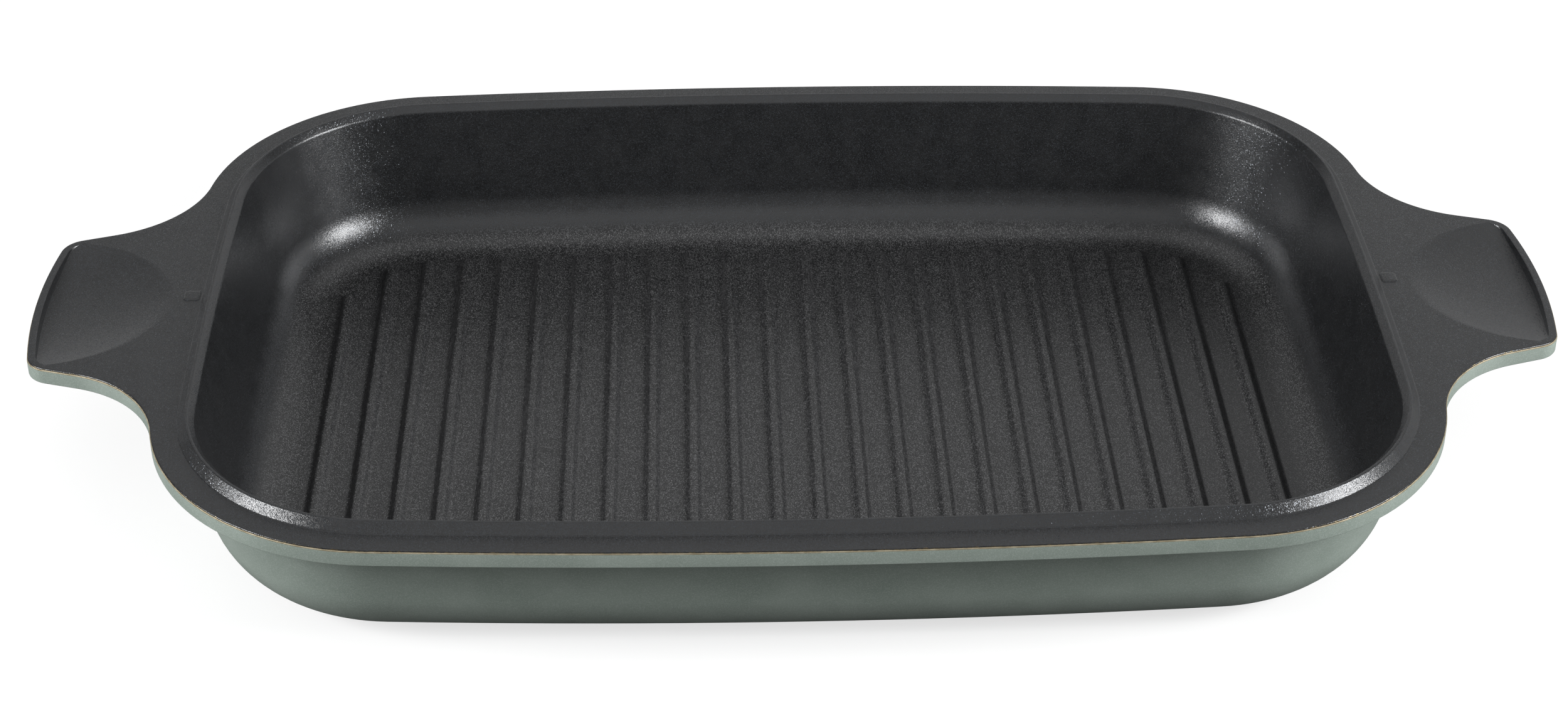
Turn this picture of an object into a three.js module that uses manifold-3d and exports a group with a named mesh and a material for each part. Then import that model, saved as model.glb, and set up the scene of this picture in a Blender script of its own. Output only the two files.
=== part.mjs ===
// A cast roasting pan: a flared bowl with grill ribs and a lid lip, and a rim flange with two lug handles.
// Millimetres, +Z up. The pan stands on z = 0 with its centre on the Z axis and its handles along X.
// The sizes are those of the finished pan, over its coatings. Each coating is a thin shell of its own.

import * as THREE from 'three';
import { mergeVertices } from 'three/addons/utils/BufferGeometryUtils.js';
import Module from 'manifold-3d';

// Rim flange, without the handles
const FLANGE_LENGTH = 360;
const FLANGE_WIDTH = 254;
const FLANGE_THICKNESS = 5;
const CORNER_RADIUS = 68;
const LONG_SIDE_BOW_RADIUS = 2000;
const SHORT_SIDE_BOW_RADIUS = 2000;

// Handles
const HANDLE_REACH = 40.5;
const HANDLE_TIP_WIDTH = 66;
const HANDLE_TIP_BOW_RADIUS = 180;
const HANDLE_TAPER_DEGREES = 17;
const HANDLE_ROOT_FILLET = 36;
const HANDLE_CORNER_RADIUS = 8;

// Thumb recess in the top of each handle, an oval dish whose middle lies at the tip
const RECESS_REACH = 39;
const RECESS_HALF_WIDTH = 34;
const RECESS_DEPTH = 2.8;
const RECESS_BORDER = 2.4;

// Low raised rectangular mark beside the lip at each handle
const MARK_LENGTH = 5.2;
const MARK_WIDTH = 6;
const MARK_HEIGHT = 0.25;
const MARK_SIDE_STEP = 2.2;
const MARK_LIP_GAP = 0.3;

// Heights
const RIM_HEIGHT = 46;
const BASE_THICKNESS = 5;

// Raised lip that locates a lid
const LIP_FOOT_INSET = 7.5;
const LIP_HEIGHT = 2.5;
const LIP_SLOPE_WIDTH = 2.4;
const LIP_RIDGE_WIDTH = 0.7;
const LIP_CHAMFER_WIDTH = 1.8;
const LIP_CHAMFER_DROP = 2;

// Bowl wall
const WALL_THICKNESS = 4.5;
const WALL_DRAFT_DEGREES = 12;
const FLOOR_FILLET = 18;
const BASE_FILLET = 25;

// Grill ribs
const RIB_PITCH = 12.05;
const RIB_END_MARGIN = 1;
const RIB_WIDTH = 4.4;
const RIB_HEIGHT = 2;
const RIB_END_GAP = 0.6;

// Coatings and the steel plate under the base
const LINING_THICKNESS = 0.5;
const ENAMEL_THICKNESS = 0.5;
const ENAMEL_FOOT_HEIGHT = 1.2;
const BOND_GAP = 0.1;
const PLATE_MARGIN = 5;
const PLATE_THICKNESS = 1.5;
const PLATE_CLEARANCE = 0.3;

// Facets along each stretch of an outline, a profile or a rib
const LONG_SIDE_STEPS = 4;
const SHORT_SIDE_STEPS = 2;
const CORNER_STEPS = 7;
const HANDLE_ROOT_STEPS = 4;
const HANDLE_CORNER_STEPS = 3;
const HANDLE_TIP_STEPS = 3;
const FILLET_STEPS = 5;
const RIB_CAP_STEPS = 2;
const RIB_SIDES = 8;
const DISH_RINGS = 3;
const DISH_SIDES = 36;

// Cutting tools run past the solid that they trim by this much, and the dish by this share, short of the lip
const OVERCUT = 10;
const DISH_OVERRUN = 1.1;

// Finishes
const BARE_CAST = { color: 0xb9a88c, roughness: 0.45, metalness: 1 };
const BLACK_NONSTICK = { color: 0x202022, roughness: 0.5, metalness: 0.1 };
const GREEN_COATING = { color: 0x66746a, roughness: 0.4, metalness: 0.3 };
const BRUSHED_STEEL = { color: 0x9a9a98, roughness: 0.35, metalness: 1 };

// Values that follow from the sizes
const halfLength = FLANGE_LENGTH / 2;
const halfWidth = FLANGE_WIDTH / 2;
const tipReach = halfLength + HANDLE_REACH;
const flangeUnderside = RIM_HEIGHT - FLANGE_THICKNESS;
const draft = THREE.MathUtils.degToRad(WALL_DRAFT_DEGREES);
const taper = THREE.MathUtils.degToRad(HANDLE_TAPER_DEGREES);
const liningSeat = LINING_THICKNESS + BOND_GAP;
const enamelSeat = ENAMEL_THICKNESS + BOND_GAP;
const up = new THREE.Vector3(0, 0, 1);

const wasm = await Module();
wasm.setup();

// Outlines in plan. Each sample holds a point and the outward direction there, so that a parallel
// outline at any distance is the same list with its points moved along those directions.

function sampleArc(centre, radius, from, to, steps, facing = 1) {
  const samples = [];
  for (let i = 0; i <= steps; i += 1) {
    const angle = from + ((to - from) * i) / steps;
    const direction = new THREE.Vector2(Math.cos(angle), Math.sin(angle));
    const point = centre.clone().addScaledVector(direction, radius);
    samples.push({ point, outward: direction.multiplyScalar(facing) });
  }
  return samples;
}

// Where a circle about the pivot meets the line through the start, the crossing that lies further along it
function farCrossing(start, direction, pivot, radius) {
  const offset = start.clone().sub(pivot);
  const along = offset.dot(direction);
  const reach = Math.sqrt(along * along - offset.lengthSq() + radius * radius);
  return start.clone().addScaledVector(direction, reach - along);
}

// The centre of the corner arc, which touches the bowed long side and the bowed short side from inside
function cornerCentre(longCentre, shortCentre) {
  const longReach = LONG_SIDE_BOW_RADIUS - CORNER_RADIUS;
  const shortReach = SHORT_SIDE_BOW_RADIUS - CORNER_RADIUS;
  const between = shortCentre.clone().sub(longCentre);
  const span = between.length();
  const along = (longReach ** 2 - shortReach ** 2 + span ** 2) / (2 * span);
  const aside = Math.sqrt(longReach ** 2 - along ** 2);
  const direction = between.divideScalar(span);
  const sideways = new THREE.Vector2(direction.y, -direction.x);
  return longCentre.clone().addScaledVector(direction, along).addScaledVector(sideways, aside);
}

const longSideCentre = new THREE.Vector2(0, halfWidth - LONG_SIDE_BOW_RADIUS);
const shortSideCentre = new THREE.Vector2(halfLength - SHORT_SIDE_BOW_RADIUS, 0);
const corner = cornerCentre(longSideCentre, shortSideCentre);
const longSideStart = corner.clone().sub(longSideCentre).angle();
const shortSideEnd = corner.clone().sub(shortSideCentre).angle();

function joinArcs(arcs) {
  return arcs.flatMap((arc, index) => (index === 0 ? arc : arc.slice(1)));
}

function longSideArc() {
  return sampleArc(longSideCentre, LONG_SIDE_BOW_RADIUS, longSideStart, Math.PI / 2, LONG_SIDE_STEPS);
}

// One quarter of the rim without its handle, from the end of the pan to the middle of the long side
function rimQuarter() {
  return joinArcs([
    sampleArc(shortSideCentre, SHORT_SIDE_BOW_RADIUS, 0, shortSideEnd, SHORT_SIDE_STEPS),
    sampleArc(corner, CORNER_RADIUS, shortSideEnd, longSideStart, CORNER_STEPS),
    longSideArc(),
  ]);
}

// One quarter of the rim with its handle, from the handle's tip to the middle of the long side
function handleQuarter() {
  const sideOutward = new THREE.Vector2(Math.sin(taper), Math.cos(taper));
  const towardTip = new THREE.Vector2(Math.cos(taper), -Math.sin(taper));
  const sideEnd = new THREE.Vector2(tipReach, HANDLE_TIP_WIDTH / 2);
  const tipCentre = new THREE.Vector2(tipReach - HANDLE_TIP_BOW_RADIUS, 0);

  const cornerLine = sideEnd.clone().addScaledVector(sideOutward, -HANDLE_CORNER_RADIUS);
  const cornerReach = HANDLE_TIP_BOW_RADIUS - HANDLE_CORNER_RADIUS;
  const tipCorner = farCrossing(cornerLine, towardTip, tipCentre, cornerReach);
  const tipAngle = tipCorner.clone().sub(tipCentre).angle();

  const rootLine = sideEnd.clone().addScaledVector(sideOutward, HANDLE_ROOT_FILLET);
  const rootCentre = farCrossing(rootLine, towardTip, corner, CORNER_RADIUS + HANDLE_ROOT_FILLET);
  const rootStart = sideOutward.clone().negate().angle();
  const rootEnd = corner.clone().sub(rootCentre).angle();
  const cornerStart = rootCentre.clone().sub(corner).angle();

  const tip = sampleArc(tipCentre, HANDLE_TIP_BOW_RADIUS, 0, tipAngle, HANDLE_TIP_STEPS);
  const tipRound = sampleArc(
    tipCorner, HANDLE_CORNER_RADIUS, tipAngle, sideOutward.angle(), HANDLE_CORNER_STEPS,
  );
  const root = sampleArc(rootCentre, HANDLE_ROOT_FILLET, rootStart, rootEnd, HANDLE_ROOT_STEPS, -1);
  const panCorner = sampleArc(corner, CORNER_RADIUS, cornerStart, longSideStart, CORNER_STEPS);
  return [...joinArcs([tip, tipRound]), ...joinArcs([root, panCorner, longSideArc()])];
}

function mirrored(samples, signX, signY) {
  const sign = new THREE.Vector2(signX, signY);
  return samples.map(({ point, outward }) => ({
    point: point.clone().multiply(sign),
    outward: outward.clone().multiply(sign),
  }));
}

// The whole outline, counter-clockwise from +X
function wholeOutline(quarter) {
  const backward = quarter.slice().reverse();
  return [
    ...quarter,
    ...mirrored(backward, -1, 1).slice(1),
    ...mirrored(quarter, -1, -1).slice(1),
    ...mirrored(backward, 1, -1).slice(1, -1),
  ];
}

const rimOutline = wholeOutline(rimQuarter());
const handleOutline = wholeOutline(handleQuarter());

function ringAt(outline, inset, z) {
  return outline.map(({ point, outward }) => {
    const moved = point.clone().addScaledVector(outward, -inset);
    return new THREE.Vector3(moved.x, moved.y, z);
  });
}

// Half the width of the rim outline, moved inward by the inset, at a distance x from the middle
function halfWidthAt(x, inset) {
  if (Math.abs(x) > corner.x) {
    return corner.y + Math.sqrt((CORNER_RADIUS - inset) ** 2 - (Math.abs(x) - corner.x) ** 2);
  }
  return longSideCentre.y + Math.sqrt((LONG_SIDE_BOW_RADIUS - inset) ** 2 - x * x);
}

// Profiles of the bowl. A point's x is its inset from the edge of the flange, and its y is its height.

const ridgeStart = LIP_FOOT_INSET + LIP_SLOPE_WIDTH;
const ridgeEnd = ridgeStart + LIP_RIDGE_WIDTH;
const wallTop = new THREE.Vector2(ridgeEnd + LIP_CHAMFER_WIDTH, RIM_HEIGHT + LIP_HEIGHT - LIP_CHAMFER_DROP);

function innerWallInset(z) {
  return wallTop.x + (wallTop.y - z) * Math.tan(draft);
}

function outerWallInset(z) {
  return innerWallInset(z) - WALL_THICKNESS / Math.cos(draft);
}

// The arc that leads from a drafted wall onto a level floor
function filletPoints(wallInset, floorHeight, radius) {
  const centreHeight = floorHeight + radius;
  const touchHeight = centreHeight - radius * Math.sin(draft);
  const centreInset = wallInset(touchHeight) + radius * Math.cos(draft);
  const points = [];
  for (let i = 0; i <= FILLET_STEPS; i += 1) {
    const angle = draft + ((Math.PI / 2 - draft) * i) / FILLET_STEPS;
    const inset = centreInset - radius * Math.cos(angle);
    points.push(new THREE.Vector2(inset, centreHeight - radius * Math.sin(angle)));
  }
  return points;
}

const floorFillet = filletPoints(innerWallInset, BASE_THICKNESS, FLOOR_FILLET);
const baseFillet = filletPoints(outerWallInset, 0, BASE_FILLET);
const floorInset = floorFillet.at(-1).x;
const baseInset = baseFillet.at(-1).x;

// Moves a profile sideways by the distance: to its right where side is 1, to its left where side is -1.
// The level stretches before and after the profile give the direction at its two ends.
function offsetProfile(points, distance, side) {
  const before = points[0].clone().add(new THREE.Vector2(-1, 0));
  const after = points.at(-1).clone().add(new THREE.Vector2(1, 0));
  const run = [before, ...points, after];
  return points.map((point, index) => {
    const arriving = point.clone().sub(run[index]).normalize();
    const leaving = run[index + 2].clone().sub(point).normalize();
    const first = new THREE.Vector2(arriving.y, -arriving.x).multiplyScalar(side);
    const second = new THREE.Vector2(leaving.y, -leaving.x).multiplyScalar(side);
    const miter = first.clone().add(second).divideScalar(1 + first.dot(second));
    return point.clone().addScaledVector(miter, distance);
  });
}

// The upper surface from the foot of the lip over its ridge and down to the floor, sunk by the depth
function upperProfile(depth) {
  const points = [
    new THREE.Vector2(LIP_FOOT_INSET, RIM_HEIGHT),
    new THREE.Vector2(ridgeStart, RIM_HEIGHT + LIP_HEIGHT),
    new THREE.Vector2(ridgeEnd, RIM_HEIGHT + LIP_HEIGHT),
    wallTop,
    ...floorFillet,
  ];
  return offsetProfile(points, depth, 1);
}

// The lower surface from the underside of the flange down the wall to the base, sunk by the depth
function lowerProfile(depth) {
  const points = [new THREE.Vector2(outerWallInset(flangeUnderside), flangeUnderside), ...baseFillet];
  return offsetProfile(points, depth, -1);
}

function ringsOf(profile) {
  return profile.map((point) => ringAt(rimOutline, point.x, point.y));
}

// Closed skins, built up from bands between rings and from level faces

class Skin {
  constructor() {
    this.corners = [];
  }

  band(lower, upper) {
    lower.forEach((start, index) => {
      const next = (index + 1) % lower.length;
      this.corners.push(start, lower[next], upper[next], start, upper[next], upper[index]);
    });
    return this;
  }

  bands(rings) {
    rings.slice(1).forEach((ring, index) => this.band(rings[index], ring));
    return this;
  }

  levelFace(outer, inner, facesUp) {
    const flat = (ring) => ring.map((point) => new THREE.Vector2(point.x, point.y));
    const holes = inner ? [flat(inner)] : [];
    const vertices = inner ? [...outer, ...inner] : outer;
    THREE.ShapeUtils.triangulateShape(flat(outer), holes).forEach((indices) => {
      const [a, b, c] = indices.map((index) => vertices[index]);
      const turnsUp = b.clone().sub(a).cross(c.clone().sub(a)).dot(up) > 0;
      this.corners.push(a, ...(turnsUp === facesUp ? [b, c] : [c, b]));
    });
    return this;
  }

  solid() {
    return toSolid(new THREE.BufferGeometry().setFromPoints(this.corners));
  }
}

function toSolid(geometry) {
  geometry.deleteAttribute('normal');
  geometry.deleteAttribute('uv');
  const merged = mergeVertices(geometry);
  const triangles = [];
  for (let i = 0; i < merged.index.count; i += 3) {
    const [a, b, c] = [merged.index.getX(i), merged.index.getX(i + 1), merged.index.getX(i + 2)];
    if (a !== b && b !== c && c !== a) {
      triangles.push(a, b, c);
    }
  }
  return new wasm.Manifold(new wasm.Mesh({
    numProp: 3,
    vertProperties: new Float32Array(merged.attributes.position.array),
    triVerts: new Uint32Array(triangles),
  }));
}

function toMesh(name, solid, finish) {
  const { vertProperties, triVerts } = solid.getMesh();
  const geometry = new THREE.BufferGeometry();
  geometry.setAttribute('position', new THREE.BufferAttribute(vertProperties, 3));
  geometry.setIndex(new THREE.BufferAttribute(triVerts, 1));
  geometry.computeVertexNormals();
  const mesh = new THREE.Mesh(geometry, new THREE.MeshStandardMaterial(finish));
  mesh.name = name;
  return mesh;
}

function prism(outline, inset, bottom, top) {
  const lower = ringAt(outline, inset, bottom);
  const upper = ringAt(outline, inset, top);
  return new Skin().levelFace(lower, null, false).band(lower, upper).levelFace(upper, null, true).solid();
}

// Ribs, recesses and marks, which shape the upper surface

// One rib: a bar with round ends and a half-oval section that stands on the floor, sunk by the depth.
// Its ends keep to the level floor on the side where the floor's edge comes closest.
function rib(x, depth) {
  const radius = RIB_WIDTH / 2 - depth;
  const outerSide = Math.abs(x) + RIB_WIDTH / 2;
  const halfRun = halfWidthAt(outerSide, floorInset + RIB_END_GAP) - RIB_WIDTH / 2;
  const geometry = new THREE.CapsuleGeometry(radius, 2 * halfRun, RIB_CAP_STEPS, RIB_SIDES);
  geometry.rotateY(Math.PI / RIB_SIDES);
  geometry.scale(1, 1, RIB_HEIGHT / radius);
  geometry.translate(x, 0, BASE_THICKNESS - depth);
  return toSolid(geometry);
}

// As many ribs as the length of the floor takes, set evenly about the middle
function addRibs(solid, depth) {
  const room = 2 * (halfLength - floorInset - RIB_END_MARGIN) - RIB_WIDTH;
  const spaces = Math.floor(room / RIB_PITCH);
  let ribbed = solid;
  for (let i = 0; i <= spaces; i += 1) {
    ribbed = ribbed.add(rib((i - spaces / 2) * RIB_PITCH, depth));
  }
  return ribbed;
}

// The tool that scoops the thumb recess out of one handle, sunk by the depth
function recessTool(side, depth) {
  const dishPoint = (share) => new THREE.Vector2(RECESS_REACH * share, RECESS_DEPTH * (share * share - 1));
  const profile = [];
  for (let i = 0; i <= DISH_RINGS; i += 1) {
    profile.push(dishPoint(i / DISH_RINGS));
  }
  const top = dishPoint(DISH_OVERRUN);
  profile.push(top, new THREE.Vector2(top.x, OVERCUT), new THREE.Vector2(0, OVERCUT));
  const dish = new THREE.LatheGeometry(profile, DISH_SIDES);
  dish.rotateX(Math.PI / 2);
  dish.scale(1, RECESS_HALF_WIDTH / RECESS_REACH, 1);
  dish.translate(side * tipReach, 0, RIM_HEIGHT - depth);
  const inside = prism(handleOutline, RECESS_BORDER - depth, 0, RIM_HEIGHT + OVERCUT);
  return toSolid(dish).intersect(inside);
}

function cutRecesses(solid, depth) {
  return solid.subtract(recessTool(1, depth)).subtract(recessTool(-1, depth));
}

// The mark at one handle, sunk by its own height into the coating that it stands on
function markPad(side) {
  const box = new THREE.BoxGeometry(MARK_LENGTH, MARK_WIDTH, 2 * MARK_HEIGHT);
  const reach = halfLength - LIP_FOOT_INSET + MARK_LIP_GAP + MARK_LENGTH / 2;
  box.translate(side * reach, MARK_SIDE_STEP, RIM_HEIGHT);
  return toSolid(box);
}

// Everything under the pan's upper surface, sunk by the depth, as a block that reaches down to the bottom
function blockUnderTop(depth, edgeInset, bottom) {
  const rings = ringsOf(upperProfile(depth));
  const foot = ringAt(handleOutline, edgeInset, bottom);
  const edge = ringAt(handleOutline, edgeInset, RIM_HEIGHT - depth);
  const block = new Skin()
    .levelFace(foot, null, false)
    .band(foot, edge)
    .levelFace(edge, rings[0], true)
    .bands(rings)
    .levelFace(rings.at(-1), null, true)
    .solid();
  return cutRecesses(addRibs(block, depth), depth);
}

// Everything inside the pan's outer surface, sunk by the depth, as a block between the two heights
function blockInsideWall(depth, profile, top) {
  const rings = ringsOf(profile).reverse();
  const underside = ringAt(handleOutline, depth, flangeUnderside + depth);
  const edge = ringAt(handleOutline, depth, top);
  return new Skin()
    .levelFace(rings[0], null, false)
    .bands(rings)
    .levelFace(underside, rings.at(-1), false)
    .band(underside, edge)
    .levelFace(edge, null, true)
    .solid();
}

// The part of a profile above a height, cut level where it crosses that height
function profileAbove(profile, height) {
  const last = profile.findIndex((point) => point.y < height);
  const share = (profile[last - 1].y - height) / (profile[last - 1].y - profile[last].y);
  return [...profile.slice(0, last), profile[last - 1].clone().lerp(profile[last], share)];
}

// The pieces

// The aluminium casting: bowl, lip, flange, handles and ribs in one
function makeCasting() {
  const outside = ringsOf(lowerProfile(enamelSeat)).reverse();
  const inside = ringsOf(upperProfile(liningSeat));
  const underside = ringAt(handleOutline, enamelSeat, flangeUnderside + enamelSeat);
  const edge = ringAt(handleOutline, enamelSeat, RIM_HEIGHT - liningSeat);
  const body = new Skin()
    .levelFace(outside[0], null, false)
    .bands(outside)
    .levelFace(underside, outside.at(-1), false)
    .band(underside, edge)
    .levelFace(edge, inside[0], true)
    .bands(inside)
    .levelFace(inside.at(-1), null, true)
    .solid();
  const pocketInset = baseInset + PLATE_MARGIN - PLATE_CLEARANCE;
  const pocket = prism(rimOutline, pocketInset, -OVERCUT, PLATE_THICKNESS + BOND_GAP);
  return cutRecesses(addRibs(body, liningSeat), liningSeat).subtract(pocket);
}

// The black non-stick coating over the bowl, the ribs, the lip and the tops of the flange and handles
function makeLining() {
  const skin = blockUnderTop(0, enamelSeat, 0).add(markPad(1)).add(markPad(-1));
  return skin.subtract(blockUnderTop(LINING_THICKNESS, -OVERCUT, -OVERCUT));
}

// The coloured coating over the outside of the bowl, the flange's edge and the undersides of the handles
function makeEnamel() {
  const outside = profileAbove(lowerProfile(0), ENAMEL_FOOT_HEIGHT);
  const inside = lowerProfile(ENAMEL_THICKNESS);
  const skin = blockInsideWall(0, outside, RIM_HEIGHT - liningSeat);
  return skin.subtract(blockInsideWall(ENAMEL_THICKNESS, inside, RIM_HEIGHT + OVERCUT));
}

// The steel plate let into the base, on which the pan stands
function makePlate() {
  return prism(rimOutline, baseInset + PLATE_MARGIN, 0, PLATE_THICKNESS);
}

const pan = new THREE.Group();
pan.name = 'roasting_pan';
pan.add(
  toMesh('pan_casting', makeCasting(), BARE_CAST),
  toMesh('nonstick_lining', makeLining(), BLACK_NONSTICK),
  toMesh('outer_enamel', makeEnamel(), GREEN_COATING),
  toMesh('induction_plate', makePlate(), BRUSHED_STEEL),
);

export default pan;
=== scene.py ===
"""A cast roasting pan: a black non-stick bowl with grill ribs, grey-green outside, with two lug handles.

Sizes of the pan are in millimetres, and each finished piece is brought to metres. +Z is up, the pan stands
on z = 0 with its centre on the Z axis, and the handles lie along X.
"""

import logging
import math
from collections.abc import Iterator
from contextlib import contextmanager
from dataclasses import dataclass, field
from enum import Enum
from typing import Union

import bmesh
import bpy
from mathutils import Matrix, Vector


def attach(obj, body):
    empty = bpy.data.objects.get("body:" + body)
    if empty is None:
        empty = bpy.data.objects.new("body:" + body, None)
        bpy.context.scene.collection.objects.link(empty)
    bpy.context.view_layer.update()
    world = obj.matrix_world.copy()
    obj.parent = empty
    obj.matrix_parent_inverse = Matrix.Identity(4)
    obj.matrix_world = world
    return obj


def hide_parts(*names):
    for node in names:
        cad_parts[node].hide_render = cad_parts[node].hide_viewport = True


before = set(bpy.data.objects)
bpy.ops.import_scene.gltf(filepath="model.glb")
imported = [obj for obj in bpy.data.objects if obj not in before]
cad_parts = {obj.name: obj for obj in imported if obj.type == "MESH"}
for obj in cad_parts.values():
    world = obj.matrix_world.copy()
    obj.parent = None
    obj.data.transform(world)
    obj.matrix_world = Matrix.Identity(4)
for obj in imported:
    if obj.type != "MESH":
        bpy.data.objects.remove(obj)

Colour = tuple[float, float, float, float]
Place = tuple[float, float, float]
Curve = tuple[tuple[float, float], ...]
Feed = Union[bpy.types.NodeSocket, float, Colour, Place]
Feeds = dict[Union[str, int], Feed]

MM = 0.001
LEVEL_TOLERANCE = 0.002
WELD_DISTANCE = 0.004
DEGENERATE_LENGTH = 0.002
LENGTH_TOLERANCE = 1e-9
HALVINGS = 40
SMOOTH_DEGREES = 35.0
BEHIND_FACE = -1.0
QUARTER_SIGNS = ((1, 1), (-1, 1), (-1, -1), (1, -1))
NOISE_LOW = 0.3
NOISE_HIGH = 0.7
NO_LEAN = (0.5, 0.5, 0.5)
MIX_SHARE = 0
MIX_FIRST = 6
MIX_SECOND = 7
MIX_RESULT = 2
LOG = logging.getLogger("roasting_pan")


class End(Enum):
    """The two ends of the pan, by the side of the middle on which they lie."""

    LEFT = -1
    RIGHT = 1


class Facing(Enum):
    """The way that a level face looks."""

    UP = 1
    DOWN = -1


class MeshPart(Enum):
    """What is selected while a mesh is edited."""

    POINTS = "VERT"
    EDGES = "EDGE"
    FACES = "FACE"


# Sizes of the pan


@dataclass(frozen=True)
class FlangeSizes:
    """The rim flange without its handles, and how finely its outline is drawn."""

    length: float = 360.0
    width: float = 254.0
    thickness: float = 5.0
    corner_radius: float = 68.0
    bow_radius: float = 2000.0
    top: float = 46.0
    long_side_steps: int = 10
    short_side_steps: int = 6
    corner_steps: int = 28

    @property
    def underside(self) -> float:
        """Returns the height of the flange's underside."""
        return self.top - self.thickness


@dataclass(frozen=True)
class HandleSizes:
    """The lug handles at the two ends of the flange."""

    reach: float = 40.5
    tip_width: float = 66.0
    tip_bow_radius: float = 180.0
    taper_degrees: float = 17.0
    root_fillet: float = 36.0
    corner_radius: float = 8.0
    root_steps: int = 22
    corner_steps: int = 10
    tip_steps: int = 10


@dataclass(frozen=True)
class RecessSizes:
    """The oval thumb recess in the top of each handle, whose middle lies at the handle's tip.

    The curve of its wall holds shares of the wall's width and depth. The wall fades out where the dish is
    shallow.
    """

    reach: float = 39.0
    half_width: float = 34.0
    depth: float = 2.8
    border: float = 2.4
    rim_power: float = 2.4
    wall_width: float = 0.55
    wall_curve: Curve = ((0.12, 0.03), (0.25, 0.14), (0.45, 0.5), (0.65, 0.86), (0.85, 0.98))
    wall_foot: float = 1.3
    steepness: float = 2.0
    fade_power: float = 0.6
    margin: float = 0.45
    margin_parts: int = 3
    columns: int = 72
    dish_rows: int = 14


@dataclass(frozen=True)
class MarkSizes:
    """The low raised rectangle beside the lip at each handle.

    The curve of its bank holds shares of the bank's width and height.
    """

    start: float = 173.1
    end: float = 178.0
    near_side: float = -0.3
    far_side: float = 5.2
    height: float = 0.32
    rounding: float = 1.1
    bank_width: float = 0.8
    bank_curve: Curve = ((0.25, 0.5), (0.6, 0.88), (1.0, 1.0))
    margin: float = 0.12
    corner_steps: int = 4


@dataclass(frozen=True)
class LipSizes:
    """The raised lip that locates a lid, from its foot on the flange to the top of the bowl's wall."""

    foot_inset: float = 7.5
    height: float = 2.5
    slope_width: float = 2.4
    ridge_width: float = 0.7
    chamfer_width: float = 1.8
    chamfer_drop: float = 2.0
    foot_rounding: float = 0.6
    ridge_rounding: float = 0.5
    edge_rounding: float = 0.3
    chamfer_rounding: float = 1.6
    margin: float = 0.15


@dataclass(frozen=True)
class BowlSizes:
    """The bowl: its wall, its floor and its base."""

    floor: float = 5.0
    wall_thickness: float = 4.5
    draft_degrees: float = 12.0
    floor_fillet: float = 17.0
    base_fillet: float = 25.0
    fillet_steps: int = 20
    wall_steps: int = 5
    floor_margin: float = 0.3
    under_rounding: float = 2.0

    @property
    def draft(self) -> float:
        """Returns the lean of the wall in radians."""
        return math.radians(self.draft_degrees)


@dataclass(frozen=True)
class RibSizes:
    """The grill ribs on the floor of the bowl."""

    count: int = 24
    pitch: float = 12.05
    foot_width: float = 5.1
    top_width: float = 2.1
    height: float = 1.65
    end_inset: float = 36.6
    margin: float = 0.9
    foot_rounding: float = 1.8
    top_rounding: float = 1.35
    crown_width: float = 0.7
    crown: float = 0.05
    cap_steps: int = 14


@dataclass(frozen=True)
class CoatSizes:
    """The coatings, and the bare metal that shows between them along the flange's edge."""

    lining_thickness: float = 0.4
    enamel_thickness: float = 0.4
    black_edge_inset: float = 0.26
    black_edge_drop: float = 0.42
    edge_lean: float = 0.02
    edge_rounding: float = 0.36
    edge_rounding_share: float = 0.85
    bare_drop: float = 0.76
    bare_inset: float = 0.04
    bare_rounding: float = 0.3
    lower_edge_rounding: float = 0.4
    flat_margin: float = 0.4
    base_height: float = 0.1
    base_overlap: float = 0.8


@dataclass(frozen=True)
class CoreSizes:
    """The casting under the coatings, and the pocket in its base for the plate."""

    clearance: float = 0.45
    top: float = 42.7
    bead_width: float = 0.95
    step_width: float = 0.3
    tuck: float = 0.2
    bead_tuck: float = 0.05
    side_tuck: float = 0.1
    lean: float = 0.01
    foot_start: float = 1.0
    foot_chamfer: float = 0.35
    foot_rounding: float = 0.12
    pocket_clearance: float = 0.2
    pocket_depth: float = 1.5


@dataclass(frozen=True)
class PlateSizes:
    """The steel plate let into the base, with round studs of the casting pressed through it."""

    margin: float = 5.0
    thickness: float = 1.4
    edge_lean: float = 0.01
    edge_rounding: float = 0.3
    face_start: float = 0.9
    face_height: float = 0.12
    stud_radius: float = 2.1
    stud_height: float = 0.6
    stud_rounding: float = 0.1
    stud_rounding_steps: int = 2
    stud_pitch: float = 9.5
    row_pitch: float = 4.75
    row_shift: float = 0.5
    stud_sides: int = 16
    stud_clear: float = 7.0


@dataclass(frozen=True)
class PanSizes:
    """All sizes of the pan."""

    flange: FlangeSizes = field(default_factory=FlangeSizes)
    handle: HandleSizes = field(default_factory=HandleSizes)
    recess: RecessSizes = field(default_factory=RecessSizes)
    mark: MarkSizes = field(default_factory=MarkSizes)
    lip: LipSizes = field(default_factory=LipSizes)
    bowl: BowlSizes = field(default_factory=BowlSizes)
    rib: RibSizes = field(default_factory=RibSizes)
    coat: CoatSizes = field(default_factory=CoatSizes)
    core: CoreSizes = field(default_factory=CoreSizes)
    plate: PlateSizes = field(default_factory=PlateSizes)


# Outlines seen from above


@dataclass(frozen=True)
class EdgePoint:
    """One point of an outline, with the outward direction there."""

    place: Vector
    outward: Vector

    def moved_in(self, inset: float) -> Vector:
        """Returns the point moved inward by the inset."""
        return self.place - self.outward * inset

    def mirrored(self, sign_x: float, sign_y: float) -> "EdgePoint":
        """Returns the point mirrored by the signs."""
        sign = Vector((sign_x, sign_y))
        return EdgePoint(self.place * sign, self.outward * sign)


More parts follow.
